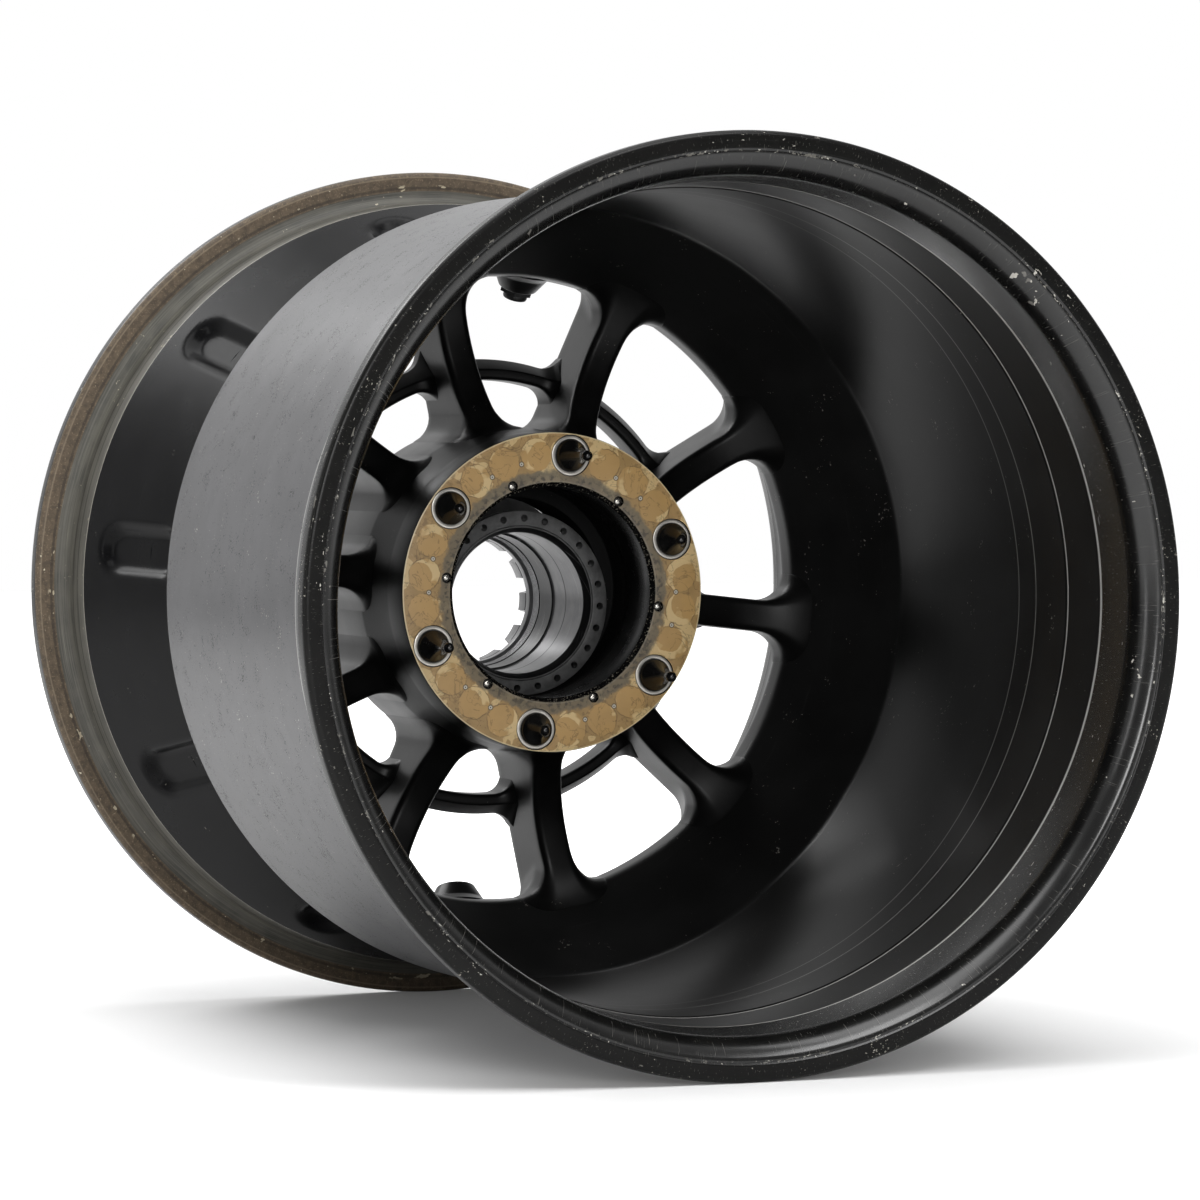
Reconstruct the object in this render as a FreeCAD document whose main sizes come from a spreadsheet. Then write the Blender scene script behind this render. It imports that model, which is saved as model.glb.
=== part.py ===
"""Racing wheel rim: a one-piece forged 13-inch rear rim with its drive pegs, captive nut and valve.

Frame: the wheel turns about Y, the inboard side (drive face) looks along -Y, +Z is up and the
origin is on the axis at half the width. Millimetres.
"""
import FreeCAD, Part
import math
import os
import Sketcher

V = FreeCAD.Vector

SIZES = {
    # barrel
    "rim_width": 367.0,
    "flange_dia": 358.0,
    "lip_width": 9.0,
    "lip_land": 7.5,
    "lip_fall": 16.8,
    "lip_depth": 14.5,
    "lip_bell": 14.0,
    "dish_fall": 17.5,
    "flange_height": 13.9,
    "seat_width": 21.5,
    "seat_fall": 0.7,
    "hump_width": 8.0,
    "drum_fall": 2.3,
    "drum_wall": 3.0,
    "drum_end": 40.0,
    "drum_inset": 6.0,
    "heel_width": 28.0,
    "heel_step": 0.6,
    "heel_slope": 1.0,
    "heel_taper": 0.6,
    "toe_width": 18.0,
    "well_drop": 27.1,
    "well_start": 82.0,
    "well_floor": 11.0,
    "well_wall": 6.5,
    "throat_shift": 2.0,
    "dish_wall": 7.4,
    "lip_round": 3.5,
    "flange_round": 2.5,
    "bead_fillet": 6.0,
    "well_fillet": 12.0,
    "drum_round": 10.0,
    # spokes and hub
    "spoke_count": 10.0,
    "spoke_turn": -6.3,
    "spoke_wall": 13.5,
    "spoke_back": 120.0,
    "spoke_crown": 68.0,
    "spoke_heel": 69.0,
    "spoke_hollow": 50.0,
    "spoke_bury": 3.0,
    "window_bore": 68.0,
    "window_bite": 10.0,
    "window_hub_fillet": 9.0,
    "window_rim_fillet": 14.0,
    "tie_bore": 88.0,
    "tie_wall": 9.0,
    "tie_width": 15.0,
    "face_place": 28.0,
    "face_radius": 66.0,
    "boss_length": 24.0,
    "boss_fillet": 19.0,
    "spoke_root": 72.0,
    "mouth_radius": 43.6,
    "mouth_bevel": 1.8,
    "mouth_length": 14.0,
    "neck_start": 73.0,
    "neck_end": 100.0,
    "seat_depth": 11.5,
    "seat_bore": 52.0,
    # pockets in the well wall
    "pocket_width": 22.0,
    "pocket_depth": 4.2,
    "pocket_start": 98.0,
    "pocket_end": 144.0,
    # drive pegs, bushes and pins
    "peg_count": 6.0,
    "peg_turn": 22.2,
    "peg_circle": 56.8,
    "peg_long": 20.5,
    "peg_short": 12.0,
    "peg_base": 6.7,
    "peg_nose": 2.2,
    "peg_depth": 16.0,
    "peg_land": 1.0,
    "peg_curve": 24.0,
    "bush_radius": 8.3,
    "pin_circle": 47.1,
    "pin_radius": 2.1,
    "pin_sink": 1.6,
    "pin_length": 9.0,
    "fit": 0.1,
    # captive nut
    "nut_drop": 5.6,
    "nut_place": 66.0,
    "nut_end": 139.5,
    "keeper_band": 6.4,
    "keeper_width": 6.0,
    "keeper_inset": 3.2,
    "keeper_hole": 1.5,
    "keeper_count": 24.0,
    "keeper_turn": -2.6,
    "sleeve_radius": 33.0,
    "sleeve_step": 0.7,
    "sleeve_bore": 29.6,
    "thread_bore": 28.6,
    "thread_start": 103.0,
    "ring_bore": 27.0,
    "ring_start": 125.0,
    "sleeve_bevel": 2.0,
    "collar_radius": 46.0,
    "collar_width": 7.0,
    "tooth_count": 12.0,
    "tooth_depth": 8.5,
    "tooth_gap": 6.6,
    "tooth_turn": -3.4,
    # valve and plug
    "boss_turn": 83.7,
    "valve_place": 104.0,
    "boss_rise": 8.0,
    "boss_base": 12.0,
    "boss_top": 8.0,
    "stem_radius": 4.0,
    "stem_rise": 11.5,
    "head_radius": 9.0,
    "head_height": 1.6,
    "head_seat": 4.5,
    "plug_sink": 0.8,
    "nut_across": 13.0,
    "nut_height": 1.8,
    "cap_radius": 5.2,
    "cap_length": 2.7,
    "cap_wall": 1.2,
    "head_gap": 0.3,
}


class Size:
    """A length from the sheet, or a sum of such lengths: its number and the expression that binds it."""

    def __init__(self, value, text):
        self.value = value
        self.text = text

    @staticmethod
    def of(other):
        return other if isinstance(other, Size) else Size(float(other), repr(float(other)))

    def join(self, other, value, sign):
        return Size(value, "(%s %s %s)" % (self.text, sign, other.text))

    def __add__(self, other):
        other = Size.of(other)
        return self.join(other, self.value + other.value, "+")

    def __sub__(self, other):
        other = Size.of(other)
        return self.join(other, self.value - other.value, "-")

    def __mul__(self, other):
        other = Size.of(other)
        return self.join(other, self.value * other.value, "*")

    def __truediv__(self, other):
        other = Size.of(other)
        return self.join(other, self.value / other.value, "/")

    def __neg__(self):
        return Size(-self.value, "(-1 * %s)" % self.text)


class Sizes:
    """The sheet's cells by name, as Size values."""

    def __init__(self, table):
        for name, value in table.items():
            setattr(self, name, Size(value, "dims." + name))


ZERO = Size(0.0, "0.0")
doc = FreeCAD.newDocument("wheel_rim")
sheet = doc.addObject("Spreadsheet::Sheet", "dims")
for row, (alias, number) in enumerate(SIZES.items(), start=1):
    sheet.set("A%d" % row, str(number))
    sheet.setAlias("A%d" % row, alias)
doc.recompute()
d = Sizes(SIZES)
# radii that step in from the flanges
d.flange = d.flange_dia / 2
d.lip_bore = d.flange - d.lip_fall
d.dish_bore = d.flange - d.dish_fall
d.bead = d.flange - d.flange_height
d.drum_radius = d.bead - d.drum_fall
d.heel_radius = d.drum_radius - d.drum_wall + d.heel_step
d.keeper_radius = d.sleeve_radius - d.sleeve_step + d.fit + d.keeper_band
d.keeper_circle = d.keeper_radius - d.keeper_inset
d.well_radius = d.bead - d.well_drop
d.window_reach = d.well_radius - d.well_wall + d.window_bite


def body_of(label):
    """A new body with its own label."""
    body = doc.addObject("PartDesign::Body", label)
    body.Label = label
    return body


def origin(body, role):
    """An origin plane or axis of a body."""
    return next(f for f in body.Origin.OriginFeatures if f.Role == role)


def sketch_on(body, name, role, offset=0.0, turn=0.0):
    """A sketch on an origin plane, moved along its normal and turned in its plane."""
    sketch = body.newObject("Sketcher::SketchObject", name)
    sketch.AttachmentSupport = [(origin(body, role), "")]
    sketch.MapMode = "FlatFace"
    sketch.AttachmentOffset = FreeCAD.Placement(V(0, 0, offset), FreeCAD.Rotation(V(0, 0, 1), turn))
    return sketch


def bind(sketch, kind, places, size):
    """A dimension of a sketch that follows the sheet."""
    index = sketch.addConstraint(Sketcher.Constraint(kind, *places, size.value))
    sketch.setExpression("Constraints[%d]" % index, size.text)


def arc_between(start, end, radius, left):
    """The short arc from start to end whose centre is to the left, or right, of the chord."""
    chord = end - start
    reach = math.sqrt(max(radius ** 2 - (chord.Length / 2) ** 2, 0.0))
    side = V(-chord.y, chord.x, 0).normalize() * (reach if left else -reach)
    centre = (start + end) / 2 + side
    first = math.atan2(start.y - centre.y, start.x - centre.x)
    last = math.atan2(end.y - centre.y, end.x - centre.x)
    circle = Part.Circle(centre, V(0, 0, 1), radius)
    return Part.ArcOfCircle(circle, first, last) if left else Part.ArcOfCircle(circle, last, first)


def outline(sketch, corners):
    """A closed outline. A corner is (x, y), or (x, y, radius, left) where an arc leaves it."""
    points = [V(c[0].value, c[1].value, 0) for c in corners]
    ends = []
    for i, corner in enumerate(corners):
        after = points[(i + 1) % len(points)]
        if len(corner) == 2:
            geo = sketch.addGeometry(Part.LineSegment(points[i], after), False)
            ends.append((geo, 1, 2))
        else:
            geo = sketch.addGeometry(arc_between(points[i], after, corner[2].value, corner[3]), False)
            ends.append((geo, 1, 2) if corner[3] else (geo, 2, 1))
    for i, (geo, head, tail) in enumerate(ends):
        follower, start, _ = ends[(i + 1) % len(ends)]
        sketch.addConstraint(Sketcher.Constraint("Coincident", geo, tail, follower, start))
        bind(sketch, "DistanceX", (-1, 1, geo, head), corners[i][0])
        bind(sketch, "DistanceY", (-1, 1, geo, head), corners[i][1])
        if len(corners[i]) > 2:
            bind(sketch, "Radius", (geo,), corners[i][2])


def revolve(body, name, corners):
    """A ring or turned solid about the body's Y axis, from its section in radius and place."""
    sketch = sketch_on(body, name + "_section", "XY_Plane")
    outline(sketch, corners)
    feature = body.newObject("PartDesign::Revolution", name)
    feature.Profile = sketch
    feature.ReferenceAxis = (sketch, ["V_Axis"])
    doc.recompute()
    return feature


def extrude(body, kind, name, sketch, length=None):
    """A Pad or Pocket of a sketch, both ways through everything if no length is given."""
    feature = body.newObject("PartDesign::" + kind, name)
    feature.Profile = sketch
    if length is None:
        feature.Type = "ThroughAll"
        feature.SideType = "Symmetric"
    else:
        feature.setExpression("Length", length.text)
    doc.recompute()
    return feature


def pattern(body, name, feature, count):
    """A full turn of copies of a feature about the body's Y axis."""
    copies = body.newObject("PartDesign::PolarPattern", name)
    copies.Originals = [feature]
    copies.Axis = (origin(body, "Y_Axis"), [""])
    copies.Angle = 360.0
    copies.setExpression("Occurrences", count.text)
    body.Tip = copies
    doc.recompute()
    return copies


def round_rings(body, name, places, radius):
    """A fillet on the circular edges of a turned body, each given as (radius, place)."""
    base = body.Tip
    names = []
    for number, edge in enumerate(base.Shape.Edges, start=1):
        curve = edge.Curve
        if not isinstance(curve, Part.Circle):
            continue
        for ring, place in places:
            near = abs(curve.Radius - ring.value) < 0.01 and abs(curve.Center.y - place.value) < 0.01
            if near and abs(curve.Axis.y) > 0.99:
                names.append("Edge%d" % number)
    fillet = body.newObject("PartDesign::Fillet", name)
    fillet.Base = (base, names)
    fillet.setExpression("Radius", radius.text)
    body.Tip = fillet
    doc.recompute()


def half():
    """Half the width of the rim."""
    return d.rim_width / 2


def toe():
    """Place of the tyre side of a flange, from the middle."""
    return half() - d.lip_width


def hump():
    """Radius and place of the hump that ends a bead seat."""
    return d.bead - d.seat_fall, toe() - d.seat_width


def throat():
    """Inner radius of the well, and where it starts and ends."""
    start = d.well_start + d.throat_shift
    return d.well_radius - d.well_wall, start, start + d.well_floor


def drum_bore():
    """Inner radius of the drum, and where it ends."""
    return d.drum_radius - d.drum_wall, d.drum_end - d.drum_inset


def make_barrel():
    """The turned barrel: two flanges and bead seats, the thin drum and the well."""
    body = body_of("barrel")
    flange = d.flange
    bead = d.bead
    land = flange - d.lip_land
    hump_radius, hump_place = hump()
    throat_radius, throat_start, throat_end = throat()
    bore, bore_end = drum_bore()
    well_end = d.well_start + d.well_floor
    lip_end = half() - d.lip_depth
    heel = d.toe_width - lip_end
    heel_end = heel + d.heel_width
    revolve(body, "barrel_turning", [
        (flange, -half()),
        (land, -half(), d.lip_bell, False),
        (d.lip_bore, -lip_end),
        (d.heel_radius + d.heel_taper, heel),
        (d.heel_radius, heel_end),
        (bore, heel_end + d.heel_slope),
        (bore, bore_end),
        (throat_radius, throat_start),
        (throat_radius, throat_end),
        (hump_radius - d.dish_wall, hump_place),
        (d.dish_bore, lip_end, d.lip_bell, False),
        (land, half()),
        (flange, half()),
        (flange, toe()),
        (bead, toe()),
        (hump_radius, hump_place),
        (d.well_radius, well_end),
        (d.well_radius, d.well_start),
        (d.drum_radius, d.drum_end),
        (d.drum_radius, d.hump_width - hump_place),
        (hump_radius, -hump_place),
        (bead, -toe()),
        (flange, -toe()),
    ])
    round_rings(body, "lip_edges", [(flange, half()), (flange, -half())], d.lip_round)
    round_rings(body, "flange_edges", [(flange, toe()), (flange, -toe())], d.flange_round)
    round_rings(body, "bead_corners", [(bead, toe()), (bead, -toe())], d.bead_fillet)
    well_rings = [(d.well_radius, d.well_start), (d.well_radius, well_end)]
    throat_rings = [(throat_radius, throat_start), (throat_radius, throat_end)]
    round_rings(body, "well_corners", well_rings + throat_rings, d.well_fillet)
    round_rings(body, "drum_corners", [(d.drum_radius, d.drum_end), (bore, bore_end)], d.drum_round)
    return body


def window_sketch(body):
    """The opening between two spokes: their parallel sides, two arcs about the axis, round corners."""
    step = 180.0 / d.spoke_count.value
    sketch = sketch_on(body, "window_outline", "XZ_Plane", turn=d.spoke_turn.value + step)
    side = V(math.cos(math.radians(step)), math.sin(math.radians(step)), 0)
    across = V(-side.y, side.x, 0)
    offset = d.spoke_wall.value / 2
    inner, outer = d.window_bore.value, d.window_reach.value
    hub_fillet, rim_fillet = d.window_hub_fillet.value, d.window_rim_fillet.value

    def corner(ring, fillet):
        along = math.sqrt(ring ** 2 - (offset + fillet) ** 2)
        centre = side * along - across * (offset + fillet)
        return centre, side * along - across * offset

    def mirrored(point):
        return V(point.x, -point.y, 0)

    def arc(centre, radius, start, end):
        first = math.atan2(start.y - centre.y, start.x - centre.x)
        last = math.atan2(end.y - centre.y, end.x - centre.x)
        circle = Part.Circle(centre, V(0, 0, 1), radius)
        return sketch.addGeometry(Part.ArcOfCircle(circle, first, last), False)

    hub_centre, hub_touch = corner(inner + hub_fillet, hub_fillet)
    rim_centre, rim_touch = corner(outer - rim_fillet, rim_fillet)
    hub_end = hub_centre * (inner / hub_centre.Length)
    rim_end = rim_centre * (outer / rim_centre.Length)
    upper = sketch.addGeometry(Part.LineSegment(hub_touch, rim_touch), False)
    lower = sketch.addGeometry(Part.LineSegment(mirrored(hub_touch), mirrored(rim_touch)), False)
    rim_arc = arc(V(0, 0, 0), outer, mirrored(rim_end), rim_end)
    hub_arc = arc(V(0, 0, 0), inner, mirrored(hub_end), hub_end)
    rim_top = arc(rim_centre, rim_fillet, rim_end, rim_touch)
    rim_low = arc(mirrored(rim_centre), rim_fillet, mirrored(rim_touch), mirrored(rim_end))
    hub_top = arc(hub_centre, hub_fillet, hub_touch, hub_end)
    hub_low = arc(mirrored(hub_centre), hub_fillet, mirrored(hub_end), mirrored(hub_touch))
    meetings = [
        (upper, 2, rim_top, 2), (rim_top, 1, rim_arc, 2), (rim_arc, 1, rim_low, 2), (rim_low, 1, lower, 2),
        (lower, 1, hub_low, 2), (hub_low, 1, hub_arc, 1), (hub_arc, 2, hub_top, 2), (hub_top, 1, upper, 1),
    ]
    for meeting in meetings:
        sketch.addConstraint(Sketcher.Constraint("Tangent", *meeting))
    for ring in (rim_arc, hub_arc):
        sketch.addConstraint(Sketcher.Constraint("Coincident", ring, 3, -1, 1))
    sketch.addConstraint(Sketcher.Constraint("Equal", rim_top, rim_low))
    sketch.addConstraint(Sketcher.Constraint("Equal", hub_top, hub_low))
    bind(sketch, "Radius", (rim_arc,), d.window_reach)
    bind(sketch, "Radius", (hub_arc,), d.window_bore)
    bind(sketch, "Radius", (rim_top,), d.window_rim_fillet)
    bind(sketch, "Radius", (hub_top,), d.window_hub_fillet)
    for line, turn in ((upper, 1), (lower, -1)):
        bind(sketch, "Distance", (-1, 1, line), d.spoke_wall / 2)
        index = sketch.addConstraint(Sketcher.Constraint("Angle", -1, line, turn * math.radians(step)))
        sketch.setExpression("Constraints[%d]" % index, "%d * 180 deg / dims.spoke_count" % turn)
    return sketch


def circle_sketch(body, name, ring, radius, place, turn):
    """One circle on a ring about the axis, in the plane at the given place."""
    sketch = sketch_on(body, name, "XZ_Plane", offset=-place.value, turn=turn)
    geo = sketch.addGeometry(Part.Circle(V(ring.value, 0, 0), V(0, 0, 1), radius.value), False)
    sketch.addConstraint(Sketcher.Constraint("PointOnObject", geo, 3, -1))
    bind(sketch, "DistanceX", (-1, 1, geo, 3), ring)
    bind(sketch, "Radius", (geo,), radius)
    return sketch


def make_spoke_disc():
    """Hub and spokes: one turned disc with the windows, the tie ring and the sockets of the drive face."""
    body = body_of("spoke_disc")
    face = d.face_place
    chamber = d.keeper_radius + d.nut_drop + d.fit
    neck = d.sleeve_radius + d.nut_drop + d.fit
    seat_end = d.neck_end + d.seat_depth
    mouth_end = face + d.mouth_length
    throat_radius, throat_start, throat_end = throat()
    bore, bore_end = drum_bore()
    wall_slope = (bore - throat_radius) / (throat_start - bore_end)
    crown_radius = throat_radius + wall_slope * (throat_start - d.spoke_crown)
    revolve(body, "disc_turning", [
        (d.mouth_radius + d.mouth_bevel, face),
        (d.mouth_radius, face + d.mouth_bevel),
        (d.mouth_radius, mouth_end),
        (chamber, mouth_end + chamber - d.mouth_radius),
        (chamber, d.neck_start),
        (neck, d.neck_start),
        (neck, d.neck_end),
        (neck + d.seat_depth, seat_end),
        (d.seat_bore, seat_end),
        (d.seat_bore, d.spoke_back),
        (d.window_reach + d.spoke_bury, d.spoke_back),
        (throat_radius + d.spoke_bury, throat_end),
        (throat_radius + d.spoke_bury, throat_start),
        (crown_radius + d.spoke_bury, d.spoke_crown, d.spoke_hollow, True),
        (d.spoke_root, d.spoke_heel, d.boss_fillet, True),
        (d.face_radius, face + d.boss_length),
        (d.face_radius, face),
    ])
    window = extrude(body, "Pocket", "window", window_sketch(body))
    pattern(body, "windows", window, d.spoke_count)
    tie_front = d.spoke_back - d.tie_width
    tie_top = d.tie_bore + d.tie_wall
    revolve(body, "tie_ring", [
        (d.tie_bore, tie_front),
        (d.tie_bore, d.spoke_back),
        (tie_top, d.spoke_back),
        (tie_top, tie_front),
    ])
    clear = d.bush_radius + d.fit
    sketch = circle_sketch(body, "peg_socket_outline", d.peg_circle, clear, face, d.peg_turn.value)
    socket = extrude(body, "Pocket", "peg_socket", sketch, d.peg_depth + d.fit)
    pattern(body, "peg_sockets", socket, d.peg_count)
    clear = d.pin_radius + d.fit
    sketch = circle_sketch(body, "pin_hole_outline", d.pin_circle, clear, face, pin_turn())
    hole = extrude(body, "Pocket", "pin_hole", sketch, d.pin_sink + d.pin_length)
    pattern(body, "pin_holes", hole, d.peg_count)
    return body


def pin_turn():
    """Angle of the first face pin, half way between two pegs."""
    return d.peg_turn.value + 180.0 / d.peg_count.value


def make_pockets():
    """The slots in the tyre side of the well wall, one behind each spoke, with a floor along the cone."""
    slots = body_of("pocket_slots")
    slots.Placement = FreeCAD.Placement(V(0, 0, 0), FreeCAD.Rotation(V(0, 1, 0), -d.spoke_turn.value))
    middle = d.well_radius - d.pocket_depth - d.well_wall
    reach = d.flange - middle
    side = d.pocket_width / 2
    nose = side + d.fit * 4
    sketch = sketch_on(slots, "slot_outline", "YZ_Plane", offset=middle.value)
    outline(sketch, [
        (d.pocket_start + side, -side),
        (d.pocket_end - side, -side, nose, True),
        (d.pocket_end - side, side),
        (d.pocket_start + side, side, nose, True),
    ])
    pattern(slots, "slots", extrude(slots, "Pad", "slot", sketch, reach), d.spoke_count)
    floor = body_of("pocket_floor")
    hump_radius, hump_place = hump()
    well_end = d.well_start + d.well_floor
    rim = d.flange
    revolve(floor, "floor_ring", [
        (d.well_radius - d.pocket_depth, d.well_start),
        (d.well_radius - d.pocket_depth, well_end),
        (hump_radius - d.pocket_depth, hump_place),
        (rim, hump_place),
        (rim, d.well_start),
    ])
    pockets = doc.addObject("Part::Common", "pockets")
    pockets.Base = slots
    pockets.Tool = floor
    return pockets


def on_boss(turn):
    """Placement of a fitting: its Y axis leaves the dish wall square to the cone, towards the axis."""
    throat_radius, _, throat_end = throat()
    hump_radius, hump_place = hump()
    rise = hump_radius.value - d.dish_wall.value - throat_radius.value
    run = hump_place.value - throat_end.value
    radius = throat_radius.value + rise / run * (d.valve_place.value - throat_end.value)
    angle = math.radians(turn)
    out = V(math.cos(angle), 0, math.sin(angle))
    inward = (out * -run + V(0, rise, 0)).normalize()
    spot = out * radius + V(0, d.valve_place.value, 0)
    return FreeCAD.Placement(spot, FreeCAD.Rotation(V(0, 1, 0), inward))


def make_boss(name, turn):
    """A raised boss on the dish wall, and the stepped hole through it."""
    boss = body_of(name + "_boss")
    revolve(boss, name + "_boss_turning", [
        (ZERO, -d.head_height),
        (d.boss_base, -d.head_height),
        (d.boss_base, ZERO),
        (d.boss_top, d.boss_rise),
        (ZERO, d.boss_rise),
    ])
    boss.Placement = on_boss(turn)
    hole = body_of(name + "_hole")
    clear = d.head_radius + d.head_gap
    stem = d.stem_radius + d.fit
    outside = -d.head_seat - d.head_radius
    inside = d.boss_rise + d.head_height
    revolve(hole, name + "_hole_turning", [
        (ZERO, outside),
        (clear, outside),
        (clear, -d.head_seat),
        (stem, -d.head_seat),
        (stem, inside),
        (ZERO, inside),
    ])
    hole.Placement = on_boss(turn)
    return boss, hole


def make_forging():
    """The one-piece rim."""
    fittings = [make_boss("valve", d.boss_turn.value), make_boss("plug", d.boss_turn.value + 180.0)]
    solid = doc.addObject("Part::MultiFuse", "forging_solid")
    solid.Shapes = [make_barrel(), make_spoke_disc()] + [boss for boss, _ in fittings]
    cuts = doc.addObject("Part::MultiFuse", "forging_cuts")
    cuts.Shapes = [make_pockets()] + [hole for _, hole in fittings]
    forging = doc.addObject("Part::Cut", "wheel_forging")
    forging.Base = solid
    forging.Tool = cuts
    doc.recompute()
    return forging


def make_stem(name, turn, rise):
    """A headed stem through a boss, its head in the tyre side of the wall."""
    body = body_of(name)
    under = -d.head_seat - d.head_height
    revolve(body, name + "_turning", [
        (ZERO, under),
        (d.head_radius, under),
        (d.head_radius, -d.head_seat),
        (d.stem_radius, -d.head_seat),
        (d.stem_radius, rise),
        (ZERO, rise),
    ])
    body.Placement = on_boss(turn)
    return body


def make_valve_nut():
    """The hexagon nut on the valve's boss."""
    seat = on_boss(d.boss_turn.value)
    upright = FreeCAD.Placement(V(0, d.boss_rise.value, 0), FreeCAD.Rotation(V(1, 0, 0), -90))
    hexagon = doc.addObject("Part::Prism", "valve_nut_hexagon")
    hexagon.Polygon = 6
    hexagon.setExpression("Circumradius", (d.nut_across / Size(math.sqrt(3), "sqrt(3)")).text)
    hexagon.setExpression("Height", d.nut_height.text)
    hole = doc.addObject("Part::Cylinder", "valve_nut_hole")
    hole.setExpression("Radius", (d.stem_radius + d.fit).text)
    hole.setExpression("Height", d.nut_height.text)
    for piece in (hexagon, hole):
        piece.Placement = seat.multiply(upright)
    nut = doc.addObject("Part::Cut", "valve_nut")
    nut.Base = hexagon
    nut.Tool = hole
    doc.recompute()
    return nut


def make_valve_cap():
    """The screw cap over the end of the valve stem."""
    body = body_of("valve_cap")
    roof = d.stem_rise + d.fit
    top = roof + d.cap_wall
    skirt = d.stem_radius + d.fit
    revolve(body, "valve_cap_turning", [
        (ZERO, roof),
        (skirt, roof),
        (skirt, top - d.cap_length),
        (d.cap_radius, top - d.cap_length),
        (d.cap_radius, top),
        (ZERO, top),
    ])
    body.Placement = on_boss(d.boss_turn.value)
    return body


def at_peg(index):
    """Placement of peg number index on its circle, with Y along the wheel's axis."""
    angle = math.radians(d.peg_turn.value + index * 360.0 / d.peg_count.value)
    spot = V(math.cos(angle), 0, math.sin(angle)) * d.peg_circle.value
    return FreeCAD.Placement(spot, FreeCAD.Rotation())


def make_peg(index):
    """A drive peg: a round shank in its bush and a hollow-sided taper up to a ball nose."""
    name = "drive_peg_%d" % (index + 1)
    body = body_of(name)
    length = d.peg_long if index % 2 else d.peg_short
    bottom = d.face_place + d.peg_depth
    tip = d.face_place - length
    revolve(body, name + "_turning", [
        (ZERO, bottom),
        (d.peg_base, bottom),
        (d.peg_base, d.face_place - d.peg_land, d.peg_curve, True),
        (d.peg_nose, tip + d.peg_nose, d.peg_nose, False),
        (ZERO, tip),
    ])
    body.Placement = at_peg(index)
    return body


def make_bush(index):
    """The steel bush that lines a peg socket, flush with the drive face."""
    name = "peg_bush_%d" % (index + 1)
    body = body_of(name)
    bore = d.peg_base + d.fit
    revolve(body, name + "_turning", [
        (bore, d.face_place),
        (bore, d.face_place + d.peg_depth),
        (d.bush_radius, d.face_place + d.peg_depth),
        (d.bush_radius, d.face_place),
    ])
    body.Placement = at_peg(index)
    return body


def make_face_pins():
    """Six small pins sunk in the drive face around the bore."""
    body = body_of("face_pins")
    body.AllowCompound = True
    place = d.face_place + d.pin_sink
    sketch = circle_sketch(body, "face_pin_outline", d.pin_circle, d.pin_radius, place, pin_turn())
    pin = extrude(body, "Pad", "face_pin", sketch, d.pin_length)
    pin.Reversed = True
    pattern(body, "face_pin_ring", pin, d.peg_count)
    return body


def in_hub():
    """Placement of the loose nut, down on the floor of the hub's bore."""
    return FreeCAD.Placement(V(0, 0, -d.nut_drop.value), FreeCAD.Rotation())


def make_nut_sleeve():
    """The nut's threaded sleeve: spigot for the keeper, cone seat, collar and drive castellations."""
    body = body_of("nut_sleeve")
    spigot = d.sleeve_radius - d.sleeve_step
    spigot_end = d.nut_place + d.keeper_width
    cone_end = d.neck_end + d.collar_radius - d.sleeve_radius
    collar_end = cone_end + d.collar_width
    revolve(body, "sleeve_turning", [
        (d.sleeve_bore + d.sleeve_bevel, d.nut_place),
        (d.sleeve_bore, d.nut_place + d.sleeve_bevel * 2),
        (d.sleeve_bore, d.thread_start),
        (d.thread_bore, d.thread_start + d.sleeve_bore - d.thread_bore),
        (d.thread_bore, d.ring_start),
        (d.ring_bore, d.ring_start + d.thread_bore - d.ring_bore),
        (d.ring_bore, d.nut_end),
        (d.sleeve_radius, d.nut_end),
        (d.sleeve_radius, collar_end),
        (d.collar_radius, collar_end),
        (d.collar_radius, cone_end),
        (d.sleeve_radius, d.neck_end),
        (d.sleeve_radius, spigot_end),
        (spigot, spigot_end),
        (spigot, d.nut_place),
    ])
    turn = d.tooth_turn.value + 180.0 / d.tooth_count.value
    sketch = sketch_on(body, "tooth_gap_outline", "XZ_Plane", offset=-d.nut_end.value, turn=turn)
    side = d.tooth_gap / 2
    inner = d.ring_bore - d.sleeve_bevel
    outer = d.sleeve_radius + d.sleeve_bevel
    outline(sketch, [(inner, -side), (outer, -side), (outer, side), (inner, side)])
    gap = extrude(body, "Pocket", "tooth_gap", sketch, d.tooth_depth)
    gap.Reversed = True
    pattern(body, "teeth", gap, d.tooth_count)
    body.Placement = in_hub()
    return body


def make_nut_keeper():
    """The perforated ring on the nut's inboard spigot."""
    body = body_of("nut_keeper")
    bore = d.sleeve_radius - d.sleeve_step + d.fit
    back = d.nut_place + d.keeper_width
    revolve(body, "keeper_turning", [
        (bore, d.nut_place),
        (bore, back),
        (d.keeper_radius, back),
        (d.keeper_radius, d.nut_place),
    ])
    turn = d.keeper_turn.value
    sketch = circle_sketch(body, "keeper_hole_outline", d.keeper_circle, d.keeper_hole, d.nut_place, turn)
    hole = extrude(body, "Pocket", "keeper_hole_cut", sketch, d.keeper_width)
    pattern(body, "keeper_holes", hole, d.keeper_count)
    body.Placement = in_hub()
    return body


pieces = [make_forging(), make_face_pins(), make_nut_sleeve(), make_nut_keeper()]
pegs = range(int(d.peg_count.value))
pieces += [make_peg(index) for index in pegs]
pieces += [make_bush(index) for index in pegs]
pieces.append(make_stem("valve_stem", d.boss_turn.value, d.stem_rise))
pieces.append(make_stem("blank_plug", d.boss_turn.value + 180.0, d.boss_rise - d.plug_sink))
pieces += [make_valve_nut(), make_valve_cap()]
doc.recompute()

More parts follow.
